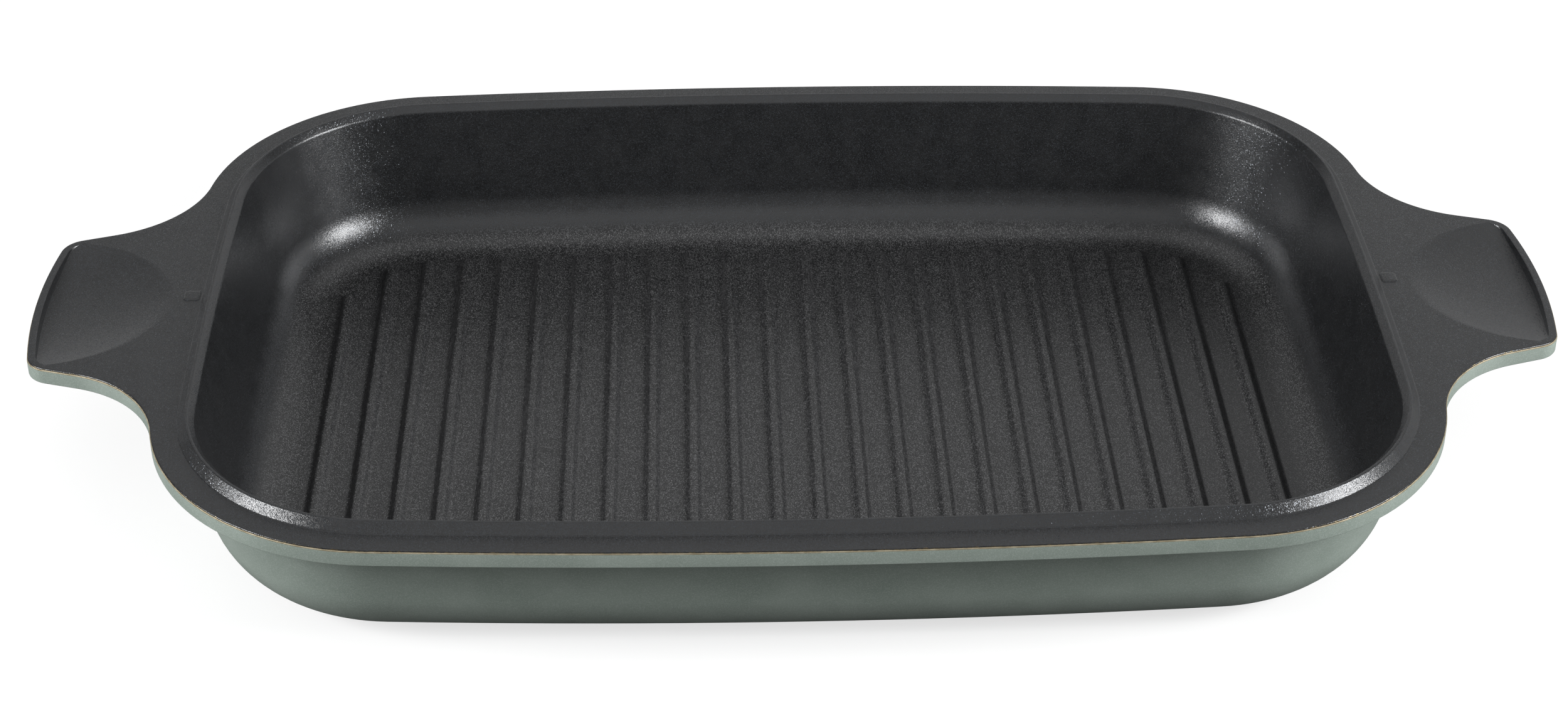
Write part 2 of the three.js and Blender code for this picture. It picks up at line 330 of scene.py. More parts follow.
@dataclass(frozen=True)
class Arc:
    """A circular arc of an outline. On a hollow arc the outward side faces the centre."""

    centre: Vector
    radius: float
    start: float
    end: float
    steps: int
    hollow: bool = False

    def points(self) -> list[EdgePoint]:
        """Draws the arc.

        Returns:
            The points along the arc, both ends included.
        """
        facing = -1.0 if self.hollow else 1.0
        points = []
        for step in range(self.steps + 1):
            angle = self.start + (self.end - self.start) * step / self.steps
            direction = Vector((math.cos(angle), math.sin(angle)))
            points.append(EdgePoint(self.centre + direction * self.radius, direction * facing))
        return points


def angle_of(direction: Vector) -> float:
    """Returns the angle of a direction, counter-clockwise from +X."""
    return math.atan2(direction.y, direction.x)


def far_crossing(start: Vector, direction: Vector, pivot: Vector, radius: float) -> Vector:
    """Finds where a line leaves a circle.

    Args:
        start: A point on the line.
        direction: The line's direction, of length one.
        pivot: The circle's centre.
        radius: The circle's radius.

    Returns:
        The crossing that lies further along the line.
    """
    offset = start - pivot
    along = offset.dot(direction)
    reach = math.sqrt(along * along - offset.length_squared + radius * radius)
    return start + direction * (reach - along)


class RimPlan:
    """The outline of the rim, without and with the handles, as a quarter that is mirrored round."""

    def __init__(self, flange: FlangeSizes, handle: HandleSizes) -> None:
        """Works out the outlines.

        Args:
            flange: The sizes of the flange.
            handle: The sizes of the handles.
        """
        self.flange = flange
        self.handle = handle
        self.half_length = flange.length / 2
        self.half_width = flange.width / 2
        self.tip_reach = self.half_length + handle.reach
        self.long_centre = Vector((0.0, self.half_width - flange.bow_radius))
        self.short_centre = Vector((self.half_length - flange.bow_radius, 0.0))
        self.corner = self._corner_centre()
        self.rim = self._whole(self._rim_quarter())
        self.handled = self._whole(self._handle_quarter())

    def half_width_at(self, x: float, inset: float) -> float:
        """Measures the rim across.

        Args:
            x: The distance from the pan's middle along its length.
            inset: How far the rim is moved inward.

        Returns:
            Half the width of the rim there.
        """
        along = abs(x)
        if along > self.corner.x:
            radius = self.flange.corner_radius - inset
            return self.corner.y + math.sqrt(radius**2 - (along - self.corner.x) ** 2)
        return self.long_centre.y + math.sqrt((self.flange.bow_radius - inset) ** 2 - along**2)

    def _corner_centre(self) -> Vector:
        """Finds the centre of the corner arc, which touches both bowed sides from inside.

        Returns:
            The centre of the corner between +X and +Y.
        """
        reach = self.flange.bow_radius - self.flange.corner_radius
        between = self.short_centre - self.long_centre
        span = between.length
        aside = math.sqrt(reach**2 - (span / 2) ** 2)
        direction = between / span
        sideways = Vector((direction.y, -direction.x))
        return self.long_centre + direction * (span / 2) + sideways * aside

    def _long_side(self) -> list[EdgePoint]:
        """Draws half of a long side.

        Returns:
            Its points, from the corner to the side's middle.
        """
        start = angle_of(self.corner - self.long_centre)
        steps = self.flange.long_side_steps
        return Arc(self.long_centre, self.flange.bow_radius, start, math.pi / 2, steps).points()

    def _rim_quarter(self) -> list[EdgePoint]:
        """Draws a quarter of the rim without its handle.

        Returns:
            Its points, from the pan's end to the middle of a long side.
        """
        short_end = angle_of(self.corner - self.short_centre)
        long_start = angle_of(self.corner - self.long_centre)
        flange = self.flange
        short = Arc(self.short_centre, flange.bow_radius, 0.0, short_end, flange.short_side_steps)
        corner = Arc(self.corner, flange.corner_radius, short_end, long_start, flange.corner_steps)
        return short.points() + corner.points()[1:] + self._long_side()[1:]

    def _handle_quarter(self) -> list[EdgePoint]:
        """Draws a quarter of the rim with its handle.

        Returns:
            Its points, from the handle's tip to the middle of a long side.
        """
        handle = self.handle
        flange = self.flange
        taper = math.radians(handle.taper_degrees)
        side_outward = Vector((math.sin(taper), math.cos(taper)))
        toward_tip = Vector((math.cos(taper), -math.sin(taper)))
        side_end = Vector((self.tip_reach, handle.tip_width / 2))
        tip_centre = Vector((self.tip_reach - handle.tip_bow_radius, 0.0))

        corner_line = side_end - side_outward * handle.corner_radius
        corner_reach = handle.tip_bow_radius - handle.corner_radius
        tip_corner = far_crossing(corner_line, toward_tip, tip_centre, corner_reach)
        tip_angle = angle_of(tip_corner - tip_centre)

        root_line = side_end + side_outward * handle.root_fillet
        root_reach = flange.corner_radius + handle.root_fillet
        root_centre = far_crossing(root_line, toward_tip, self.corner, root_reach)
        root_start = angle_of(-side_outward)
        root_end = angle_of(self.corner - root_centre)
        if root_end > root_start:
            root_end -= 2 * math.pi
        corner_start = angle_of(root_centre - self.corner)
        long_start = angle_of(self.corner - self.long_centre)

        tip = Arc(tip_centre, handle.tip_bow_radius, 0.0, tip_angle, handle.tip_steps)
        tip_round = Arc(
            tip_corner, handle.corner_radius, tip_angle, angle_of(side_outward), handle.corner_steps
        )
        root = Arc(root_centre, handle.root_fillet, root_start, root_end, handle.root_steps, hollow=True)
        corner = Arc(self.corner, flange.corner_radius, corner_start, long_start, flange.corner_steps)
        front = tip.points() + tip_round.points()[1:]
        return front + root.points() + corner.points()[1:] + self._long_side()[1:]

    @staticmethod
    def _whole(quarter: list[EdgePoint]) -> list[EdgePoint]:
        """Mirrors a quarter of an outline round.

        Args:
            quarter: The points of the quarter, from +X to +Y.

        Returns:
            The whole outline, counter-clockwise from +X.
        """
        backward = quarter[::-1]
        return (
            quarter
            + [point.mirrored(-1, 1) for point in backward][1:]
            + [point.mirrored(-1, -1) for point in quarter][1:]
            + [point.mirrored(1, -1) for point in backward][1:-1]
        )


# Profiles, whose points hold an inset from the flange's edge and a height


@dataclass(frozen=True)
class ProfileCorner:
    """A corner of a profile, and the radius that rounds it."""

    inset: float
    height: float
    radius: float = 0.0
    steps: int = 5

    @property
    def place(self) -> Vector:
        """Returns the corner as a point."""
        return Vector((self.inset, self.height))


def without_repeats(profile: list[Vector]) -> list[Vector]:
    """Drops the points of a profile that repeat the one before.

    Args:
        profile: The points in order.

    Returns:
        The points that are left.
    """
    kept = profile[:1]
    for point in profile[1:]:
        if (point - kept[-1]).length > LEVEL_TOLERANCE:
            kept.append(point)
    return kept


def rounded_profile(corners: list[ProfileCorner]) -> list[Vector]:
    """Rounds the corners of a profile with arcs that touch both their sides.

    Args:
        corners: The corners in order.

    Returns:
        The points of the profile.
    """
    points = [corners[0].place]
    for before, corner, after in zip(corners, corners[1:], corners[2:]):
        arriving = (corner.place - before.place).normalized()
        leaving = (after.place - corner.place).normalized()
        turn = arriving.angle_signed(leaving)
        touch = corner.radius * math.tan(abs(turn) / 2)
        start = corner.place - arriving * touch
        inward = Vector((-arriving.y, arriving.x)) * math.copysign(corner.radius, -turn)
        centre = start + inward
        for step in range(corner.steps + 1):
            swing = Matrix.Rotation(-turn * step / corner.steps, 2)
            points.append(centre + swing @ (start - centre))
    points.append(corners[-1].place)
    return without_repeats(points)


@dataclass(frozen=True)
class PanProfiles:
    """The sections through the pan's wall."""

    sizes: PanSizes

    @property
    def wall_top(self) -> Vector:
        """Finds where the lip's inner chamfer meets the wall.

        Returns:
            The inset and height of that point.
        """
        lip = self.sizes.lip
        inset = lip.foot_inset + lip.slope_width + lip.ridge_width + lip.chamfer_width
        return Vector((inset, self.sizes.flange.top + lip.height - lip.chamfer_drop))

    def inner_wall_inset(self, height: float) -> float:
        """Returns the inset of the wall's inner side at a height."""
        return self.wall_top.x + (self.wall_top.y - height) * math.tan(self.sizes.bowl.draft)

    def outer_wall_inset(self, height: float) -> float:
        """Returns the inset of the wall's outer side at a height."""
        bowl = self.sizes.bowl
        return self.inner_wall_inset(height) - bowl.wall_thickness / math.cos(bowl.draft)

    def fillet_touch(self, radius: float) -> float:
        """Returns how far a fillet between wall and floor reaches along each of them."""
        return radius * math.tan((math.pi / 2 - self.sizes.bowl.draft) / 2)

    def inner(self) -> list[Vector]:
        """Draws the inside of the pan.

        Returns:
            The profile from the flange over the lip and down to the edge of the level floor.
        """
        lip = self.sizes.lip
        bowl = self.sizes.bowl
        top = self.sizes.flange.top
        ridge = top + lip.height
        ridge_start = lip.foot_inset + lip.slope_width
        foot_touch = lip.foot_rounding * math.tan(math.atan2(lip.height, lip.slope_width) / 2)
        meeting = self.inner_wall_inset(bowl.floor)
        floor_edge = meeting + self.fillet_touch(bowl.floor_fillet) + bowl.floor_margin
        return rounded_profile([
            ProfileCorner(lip.foot_inset - foot_touch - lip.margin, top),
            ProfileCorner(lip.foot_inset, top, lip.foot_rounding),
            ProfileCorner(ridge_start, ridge, lip.ridge_rounding),
            ProfileCorner(ridge_start + lip.ridge_width, ridge, lip.edge_rounding),
            ProfileCorner(self.wall_top.x, self.wall_top.y, lip.chamfer_rounding, bowl.wall_steps),
            ProfileCorner(meeting, bowl.floor, bowl.floor_fillet, bowl.fillet_steps),
            ProfileCorner(floor_edge, bowl.floor),
        ])

    def outer(self) -> list[Vector]:
        """Draws the outside of the pan.

        Returns:
            The profile from the flange's underside down the wall and in under the base.
        """
        bowl = self.sizes.bowl
        coat = self.sizes.coat
        under = self.sizes.flange.underside
        top_inset = self.outer_wall_inset(under)
        meeting = self.outer_wall_inset(coat.base_height)
        base_edge = meeting + self.fillet_touch(bowl.base_fillet) + coat.base_overlap
        return rounded_profile([
            ProfileCorner(top_inset - bowl.under_rounding - coat.flat_margin, under),
            ProfileCorner(top_inset, under, bowl.under_rounding),
            ProfileCorner(meeting, coat.base_height, bowl.base_fillet, bowl.fillet_steps),
            ProfileCorner(base_edge, coat.base_height),
        ])

    def base_inset(self) -> float:
        """Returns the inset at which the level base starts."""
        bowl = self.sizes.bowl
        return self.outer_wall_inset(0.0) + self.fillet_touch(bowl.base_fillet)


# Modelling steps


def deselect_all() -> None:
    """Deselects every object."""
    bpy.ops.object.select_all(action="DESELECT")


def make_active(piece: bpy.types.Object) -> None:
    """Selects one object alone and makes it the active one.

    Args:
        piece: The object.
    """
    deselect_all()
    piece.select_set(True)
    bpy.context.view_layer.objects.active = piece


@contextmanager
def editing(piece: bpy.types.Object, part: MeshPart, selected: bool) -> Iterator[None]:
    """Opens the mesh of a piece for editing, and closes it again.

    Args:
        piece: The piece.
        part: What is selected while it is open.
        selected: Whether all of it is selected at first, or nothing.

    Yields:
        Nothing, while the mesh is open.
    """
    make_active(piece)
    bpy.ops.object.mode_set(mode="EDIT")
    bpy.ops.mesh.select_mode(type=part.value)
    bpy.ops.mesh.select_all(action="SELECT" if selected else "DESELECT")
    yield
    bpy.ops.object.mode_set(mode="OBJECT")


def add_ring(name: str, ring: list[Vector]) -> bpy.types.Object:
    """Adds a circle with a face and draws its points out to a ring.

    Args:
        name: The name of the new object.
        ring: The points of the ring in order. Counter-clockwise from above faces up, clockwise faces down.

    Returns:
        The new object, which is active.
    """
    deselect_all()
    bpy.ops.mesh.primitive_circle_add(vertices=len(ring), fill_type="NGON")
    piece = bpy.context.object
    piece.name = name
    for vertex, place in zip(piece.data.vertices, ring):
        vertex.co = place
    return piece


def inset_along(piece: bpy.types.Object, profile: list[Vector], facing: Facing) -> None:
    """Insets a piece's one face step by step along a profile, and takes out the face that is left.

    Args:
        piece: A ring with its face, at the profile's first point.
        profile: Points of inset and height.
        facing: The way that the face looks.
    """
    with editing(piece, MeshPart.FACES, selected=True):
        for here, there in zip(profile, profile[1:]):
            sunk = (there.y - here.y) * facing.value
            bpy.ops.mesh.inset(thickness=there.x - here.x, depth=sunk, use_even_offset=True)
        bpy.ops.mesh.delete(type="ONLY_FACE")


def swept(name: str, outline: list[EdgePoint], profile: list[Vector], facing: Facing) -> bpy.types.Object:
    """Carries a profile round an outline.

    Args:
        name: The name of the new object.
        outline: The outline, counter-clockwise from above.
        profile: Points of inset from the outline and height.
        facing: The way that the profile's surface looks.

    Returns:
        The new object, which is open at both ends of the profile.
    """
    start = profile[0]
    ring = [point.moved_in(start.x).to_3d() + Vector((0.0, 0.0, start.y)) for point in outline]
    if facing is Facing.DOWN:
        ring.reverse()
    piece = add_ring(name, ring)
    inset_along(piece, profile, facing)
    return piece


def join_pieces(name: str, pieces: list[bpy.types.Object]) -> bpy.types.Object:
    """Joins objects into the first of them.

    Args:
        name: The name of the joined object.
        pieces: The objects.

    Returns:
        The joined object, which is active.
    """
    deselect_all()
    for piece in pieces:
        piece.select_set(True)
    bpy.context.view_layer.objects.active = pieces[0]
    bpy.ops.object.join()
    joined = bpy.context.object
    joined.name = name
    joined.data.name = name
    return joined


def fill_level(piece: bpy.types.Object, height: float, facing: Facing) -> None:
    """Fills the level area between all open edges that lie at a height.

    Args:
        piece: The object, whose open edges at that height bound the area and its holes.
        height: The height of the edges.
        facing: The way that the new faces look.
    """
    with editing(piece, MeshPart.EDGES, selected=False):
        shape = bmesh.from_edit_mesh(piece.data)
        for edge in shape.edges:
            level = all(abs(vertex.co.z - height) < LEVEL_TOLERANCE for vertex in edge.verts)
            if level and len(edge.link_faces) < 2:
                edge.select_set(True)
        bmesh.update_edit_mesh(piece.data)
        bpy.ops.mesh.fill(use_beauty=True)
        shape = bmesh.from_edit_mesh(piece.data)
        wrong = [face for face in shape.faces if face.select and face.normal.z * facing.value < 0]
        bmesh.ops.reverse_faces(shape, faces=wrong)
        bmesh.update_edit_mesh(piece.data)


def weld(piece: bpy.types.Object) -> None:
    """Merges points of a piece that lie on each other.

    Args:
        piece: The piece.
    """
    with editing(piece, MeshPart.POINTS, selected=True):
        bpy.ops.mesh.remove_doubles(threshold=WELD_DISTANCE)
        bpy.ops.mesh.dissolve_degenerate(threshold=DEGENERATE_LENGTH)


def thicken(piece: bpy.types.Object, thickness: float) -> None:
    """Gives a skin its thickness, behind its face.

    Args:
        piece: The skin.
        thickness: Its thickness.
    """
    make_active(piece)
    wall = piece.modifiers.new("wall", "SOLIDIFY")
    wall.thickness = thickness
    wall.offset = BEHIND_FACE
    bpy.ops.object.modifier_apply(modifier=wall.name)


def finish_shape(piece: bpy.types.Object) -> None:
    """Brings a piece to metres and smooths its shading, apart from its sharp edges.

    Args:
        piece: The piece, modelled in millimetres.
    """
    make_active(piece)
    piece.scale = (MM, MM, MM)
    bpy.ops.object.transform_apply(location=True, rotation=True, scale=True)
    bpy.ops.object.shade_smooth_by_angle(angle=math.radians(SMOOTH_DEGREES))


def mount_piece(piece: bpy.types.Object, material: bpy.types.Material, slot: str, *nodes: str) -> None:
    """Gives a piece its finish and ties it to the pan.

    Args:
        piece: The piece.
        material: Its finish.
        slot: The name of the pan's finish that it belongs to. It is not used.
        nodes: The plain solids that it stands for.
    """
    piece.data.materials.clear()
    piece.data.materials.append(material)
    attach(piece, "root")
    if nodes:
        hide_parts(*nodes)
    LOG.info("%s: %d faces, in %s", piece.name, len(piece.data.polygons), material.name)


# Finishes


@dataclass(frozen=True)
class Noise:
    """A soft noise: its grains for each metre, and how many finer layers it has."""

    scale: float
    detail: float


@dataclass(frozen=True)
class Relief:
    """A fine relief of a surface: its depth in metres, and how strongly it shows."""

    depth: float
    strength: float


class ShaderTree:
    """The shader nodes of a material or of the surrounding, with a short way to add and link them."""

    def __init__(self, owner: Union[bpy.types.Material, bpy.types.World]) -> None:
        """Takes over the nodes of a material or world, and clears them.

        Args:
            owner: The material or world.
        """
        owner.use_nodes = True
        self.tree = owner.node_tree
        self.tree.nodes.clear()

    def feed(self, target: bpy.types.NodeSocket, value: Feed) -> None:
        """Links a socket to a target, or sets a plain value on it.

        Args:
            target: The socket that takes the value.
            value: Another socket, or a plain value.
        """
        if isinstance(value, bpy.types.NodeSocket):
            self.tree.links.new(value, target)
        else:
            target.default_value = value

    def add(self, kind: str, feeds: Feeds, **choices: str) -> bpy.types.bpy_prop_collection:
        """Adds a node.

        Args:
            kind: The node's kind, without the words that all kinds start with.
            feeds: What its sockets take, by their names or numbers.
            choices: What it is set to, apart from its sockets.

        Returns:
            The node's outputs.
        """
        node = self.tree.nodes.new("ShaderNode" + kind)
        for choice, value in choices.items():
            setattr(node, choice, value)
        for socket, value in feeds.items():
            self.feed(node.inputs[socket], value)
        return node.outputs

    def maths(self, operation: str, first: Feed, second: Feed) -> bpy.types.NodeSocket:
        """Returns the result of an operation on two values."""
        return self.add("Math", {0: first, 1: second}, operation=operation)["Value"]

    def spread(
        self, value: Feed, low: float, high: float, start: float = 0.0, end: float = 1.0
    ) -> bpy.types.NodeSocket:
        """Returns a value brought from a low and high end to a new start and end, and kept between them."""
        feeds = {"Value": value, "From Min": low, "From Max": high, "To Min": start, "To Max": end}
        return self.add("MapRange", feeds)["Result"]


class FinishNodes(ShaderTree):
    """The shader nodes of one finish."""

    def __init__(self, name: str) -> None:
        """Makes a material with a plain shader.

        Args:
            name: The name of the material.
        """
        self.material = bpy.data.materials.new(name)
        super().__init__(self.material)
        self.shader = self.tree.nodes.new("ShaderNodeBsdfPrincipled")
        self.add("OutputMaterial", {"Surface": self.shader.outputs["BSDF"]})
        self.place = self.add("TexCoord", {})["Object"]

    def put(self, socket: str, value: Feed) -> None:
        """Sets or links one socket of the shader."""
        self.feed(self.shader.inputs[socket], value)

    def noise(self, noise: Noise, place: bpy.types.NodeSocket | None = None) -> bpy.types.NodeSocket:
        """Returns the value of a soft noise at the piece's own place, or at another one."""
        feeds = {"Vector": place or self.place, "Scale": noise.scale, "Detail": noise.detail}
        return self.add("TexNoise", feeds)["Fac"]

    def cells(self, scale: float, place: bpy.types.NodeSocket | None = None) -> bpy.types.NodeSocket:
        """Returns the colours of random cells, whose scale is the number of cells for each metre."""
        return self.add("TexVoronoi", {"Vector": place or self.place, "Scale": scale})["Color"]

    def stretched(self, scale: Place) -> bpy.types.NodeSocket:
        """Returns the place scaled differently along each axis."""
        return self.add("Mapping", {"Vector": self.place, "Scale": scale})["Vector"]

    def vector_maths(self, operation: str, *values: Feed) -> bpy.types.NodeSocket:
        """Returns the result of an operation on vectors."""
        return self.add("VectorMath", dict(enumerate(values)), operation=operation)["Vector"]

    def mix(self, share: Feed, first: Feed, second: Feed) -> bpy.types.NodeSocket:
        """Returns a mixture of two colours, by the share of the second."""
        feeds = {MIX_SHARE: share, MIX_FIRST: first, MIX_SECOND: second}
        return self.add("Mix", feeds, data_type="RGBA")[MIX_RESULT]

    def bump(self, height: Feed, relief: Relief) -> bpy.types.NodeSocket:
        """Returns normals that follow a height, whose full range is the depth of the relief."""
        feeds = {"Height": height, "Distance": relief.depth, "Strength": relief.strength}
        return self.add("Bump", feeds)["Normal"]

    def tilted(self, normal: Feed, cell: Feed, amount: float) -> bpy.types.NodeSocket:
        """Leans normals another way in each cell.

        Args:
            normal: The normals before.
            cell: The random colour of each cell, taken as its lean.
            amount: How far the most leaning cell leans.

        Returns:
            The leaning normals.
        """
        centred = self.vector_maths("SUBTRACT", cell, NO_LEAN)
        lean = self.vector_maths("MULTIPLY", centred, (amount, amount, amount))
        return self.vector_maths("NORMALIZE", self.vector_maths("ADD", normal, lean))

    def attribute(self, name: str) -> bpy.types.NodeSocket:
        """Returns a value that is stored on the mesh."""
        return self.add("Attribute", {}, attribute_name=name)["Fac"]

    def height(self) -> bpy.types.NodeSocket:
        """Returns the height above the surface that the pan stands on."""
        return self.add("SeparateXYZ", {"Vector": self.place})["Z"]

    def red_of(self, colour: bpy.types.NodeSocket) -> bpy.types.NodeSocket:
        """Returns the red part of a colour."""
        return self.add("SeparateColor", {"Color": colour})["Red"]


def paint(red: float, green: float, blue: float) -> Colour:
    """Returns an opaque colour."""
    return (red, green, blue, 1.0)


@dataclass(frozen=True)
class BlackNonstick:
    """Satin black with a fine metallic fleck, worn through to bare metal along the very edge.

    A grain whose random value is above the fleck's start is a fleck. Flecks are painted lighter up to the
    floor's height, and no longer from the fillet's height on, both in metres: painted light that makes the
    floor and its ribs brighter than the walls and flange.
    """

    name: str = "black_nonstick"
    dark: Colour = paint(0.004, 0.004, 0.0043)
    light: Colour = paint(0.006, 0.006, 0.0063)
    fleck: Colour = paint(0.056, 0.061, 0.068)
    # Painted light: lighter flecks for the floor, so that the floor reads brighter than the walls and
    # flange.
    lit_floor_fleck: Colour = paint(0.181, 0.182, 0.186)
    bare: Colour = paint(0.2, 0.16, 0.095)
    sheen: Colour = paint(0.975, 0.985, 1.0)
    specular: float = 0.8
    smoothest: float = 0.28
    roughest: float = 0.34
    cloud: Noise = Noise(160.0, 5.0)
    cloud_low: float = 0.35
    cloud_high: float = 0.65
    fleck_grain: float = 5200.0
    fleck_stretch: Place = (1.0, 0.62, 1.0)
    fleck_start: float = 0.5
    fleck_power: float = 2.0
    fleck_metal: float = 0.8
    floor_height: float = 0.0072
    fillet_height: float = 0.0095
    tilt: float = 0.4
    ground_tilt: float = 0.25
    fine: Noise = Noise(3000.0, 2.0)
    fine_relief: Relief = Relief(0.00006, 0.6)
    edge_attribute: str = "bare_edge"
    wear: Noise = Noise(700.0, 4.0)
    wear_reach: float = 0.5
    bare_start: float = 0.55
    bare_full: float = 0.7

    def material(self) -> bpy.types.Material:
        """Makes the finish.

        Returns:
            The finish as a material.
        """
        nodes = FinishNodes(self.name)
        grain = nodes.cells(self.fleck_grain, nodes.stretched(self.fleck_stretch))
        chance = nodes.red_of(grain)
        fleck = nodes.maths("POWER", nodes.spread(chance, self.fleck_start, 1.0), self.fleck_power)
        # Painted light: flecks below the fillet take the lighter floor colour, which brightens the floor and
        # ribs.
        floor_light_share = nodes.spread(nodes.height(), self.floor_height, self.fillet_height, 1.0, 0.0)
        fleck_colour = nodes.mix(floor_light_share, self.fleck, self.lit_floor_fleck)
        cloud = nodes.noise(self.cloud)
        ground = nodes.mix(nodes.spread(cloud, self.cloud_low, self.cloud_high), self.dark, self.light)
        speckled = nodes.mix(fleck, ground, fleck_colour)

        frayed = nodes.noise(self.wear)
        ragged = nodes.spread(frayed, NOISE_LOW, NOISE_HIGH, -self.wear_reach, self.wear_reach)
        worn = nodes.maths("ADD", nodes.attribute(self.edge_attribute), ragged)
        bare = nodes.spread(worn, self.bare_start, self.bare_full)
        metal = nodes.maths("MULTIPLY", fleck, self.fleck_metal)
        nodes.put("Base Color", nodes.mix(bare, speckled, self.bare))
        nodes.put("Metallic", nodes.maths("MAXIMUM", metal, bare))
        nodes.put("Roughness", nodes.spread(cloud, NOISE_LOW, NOISE_HIGH, self.smoothest, self.roughest))

        fine = nodes.bump(nodes.noise(self.fine), self.fine_relief)
        leaning = nodes.spread(fleck, 0.0, 1.0, self.ground_tilt, 1.0)
        lean = nodes.mix(leaning, paint(*NO_LEAN), grain)
        nodes.put("Normal", nodes.tilted(fine, lean, self.tilt))
        nodes.put("Specular IOR Level", self.specular)
        nodes.put("Specular Tint", self.sheen)
        return nodes.material


@dataclass(frozen=True)
class GreenCoating:
    """Satin metallic grey-green with a very fine flake and a faint orange peel."""

    name: str = "green_coating"
    deep: Colour = paint(0.3, 0.36, 0.318)
    pale: Colour = paint(0.366, 0.429, 0.384)
    flake: Colour = paint(0.544, 0.608, 0.572)
    metallic: float = 0.3
    specular: float = 0.5
    smoothest: float = 0.37
    roughest: float = 0.45
    cloud: Noise = Noise(60.0, 4.0)
    flake_grain: float = 5000.0
    flake_start: float = 0.5
    flake_share: float = 0.45
    peel: Noise = Noise(700.0, 2.0)
    peel_flake: float = 0.3
    peel_relief: Relief = Relief(0.00003, 0.6)

    def material(self) -> bpy.types.Material:
        """Makes the finish.

        Returns:
            The finish as a material.
        """
        nodes = FinishNodes(self.name)
        chance = nodes.red_of(nodes.cells(self.flake_grain))
        cloud = nodes.noise(self.cloud)
        ground = nodes.mix(nodes.spread(cloud, NOISE_LOW, NOISE_HIGH), self.deep, self.pale)
        flake = nodes.spread(chance, self.flake_start, 1.0, 0.0, self.flake_share)
        nodes.put("Base Color", nodes.mix(flake, ground, self.flake))
        nodes.put("Metallic", self.metallic)
        nodes.put("Roughness", nodes.spread(cloud, NOISE_LOW, NOISE_HIGH, self.smoothest, self.roughest))
        raised = nodes.maths("MULTIPLY", chance, self.peel_flake)
        peel = nodes.maths("ADD", nodes.noise(self.peel), raised)
        nodes.put("Normal", nodes.bump(peel, self.peel_relief))
        nodes.put("Specular IOR Level", self.specular)
        return nodes.material


@dataclass(frozen=True)
class BareCasting:
    """Bare cast aluminium, warm grey, with a fine grain."""

    name: str = "cast_aluminium"
    warm: Colour = paint(0.215, 0.18, 0.115)
    grey: Colour = paint(0.34, 0.30, 0.215)
    metallic: float = 0.4
    smoothest: float = 0.49
    roughest: float = 0.65
    patches: Noise = Noise(350.0, 4.0)
    patch_low: float = 0.35
    patch_high: float = 0.65
    grain: Noise = Noise(2600.0, 2.0)
    grain_relief: Relief = Relief(0.00005, 0.7)

    def material(self) -> bpy.types.Material:
        """Makes the finish.

        Returns:
            The finish as a material.
        """
        nodes = FinishNodes(self.name)
        patches = nodes.spread(nodes.noise(self.patches), self.patch_low, self.patch_high)
        nodes.put("Base Color", nodes.mix(patches, self.warm, self.grey))
        nodes.put("Metallic", self.metallic)
        grain = nodes.noise(self.grain)
        nodes.put("Roughness", nodes.spread(grain, NOISE_LOW, NOISE_HIGH, self.smoothest, self.roughest))
        nodes.put("Normal", nodes.bump(grain, self.grain_relief))
        return nodes.material


@dataclass(frozen=True)
class BrushedSteel:
    """Brushed steel, with fine scratches along the pan's length."""

    name: str = "base_steel"
    dark: Colour = paint(0.44, 0.44, 0.435)
    light: Colour = paint(0.60, 0.60, 0.59)
    smoothest: float = 0.26
    roughest: float = 0.44
    drawn: Place = (14.0, 2400.0, 14.0)
    scratches: Noise = Noise(1.0, 3.0)
    scratch_relief: Relief = Relief(0.00002, 0.5)

    def material(self) -> bpy.types.Material:
        """Makes the finish.

        Returns:
            The finish as a material.
        """
        nodes = FinishNodes(self.name)
        scratches = nodes.noise(self.scratches, nodes.stretched(self.drawn))
        shine = nodes.spread(scratches, NOISE_LOW, NOISE_HIGH)
        nodes.put("Base Color", nodes.mix(shine, self.dark, self.light))
        nodes.put("Metallic", 1.0)
        nodes.put("Roughness", nodes.spread(scratches, NOISE_LOW, NOISE_HIGH, self.smoothest, self.roughest))
        nodes.put("Normal", nodes.bump(scratches, self.scratch_relief))
        return nodes.material


# The pieces


@dataclass
class PanPiece:
    """A piece of the pan, with the sizes, outlines and profiles that it is drawn from."""

    sizes: PanSizes
    plan: RimPlan
    profiles: PanProfiles


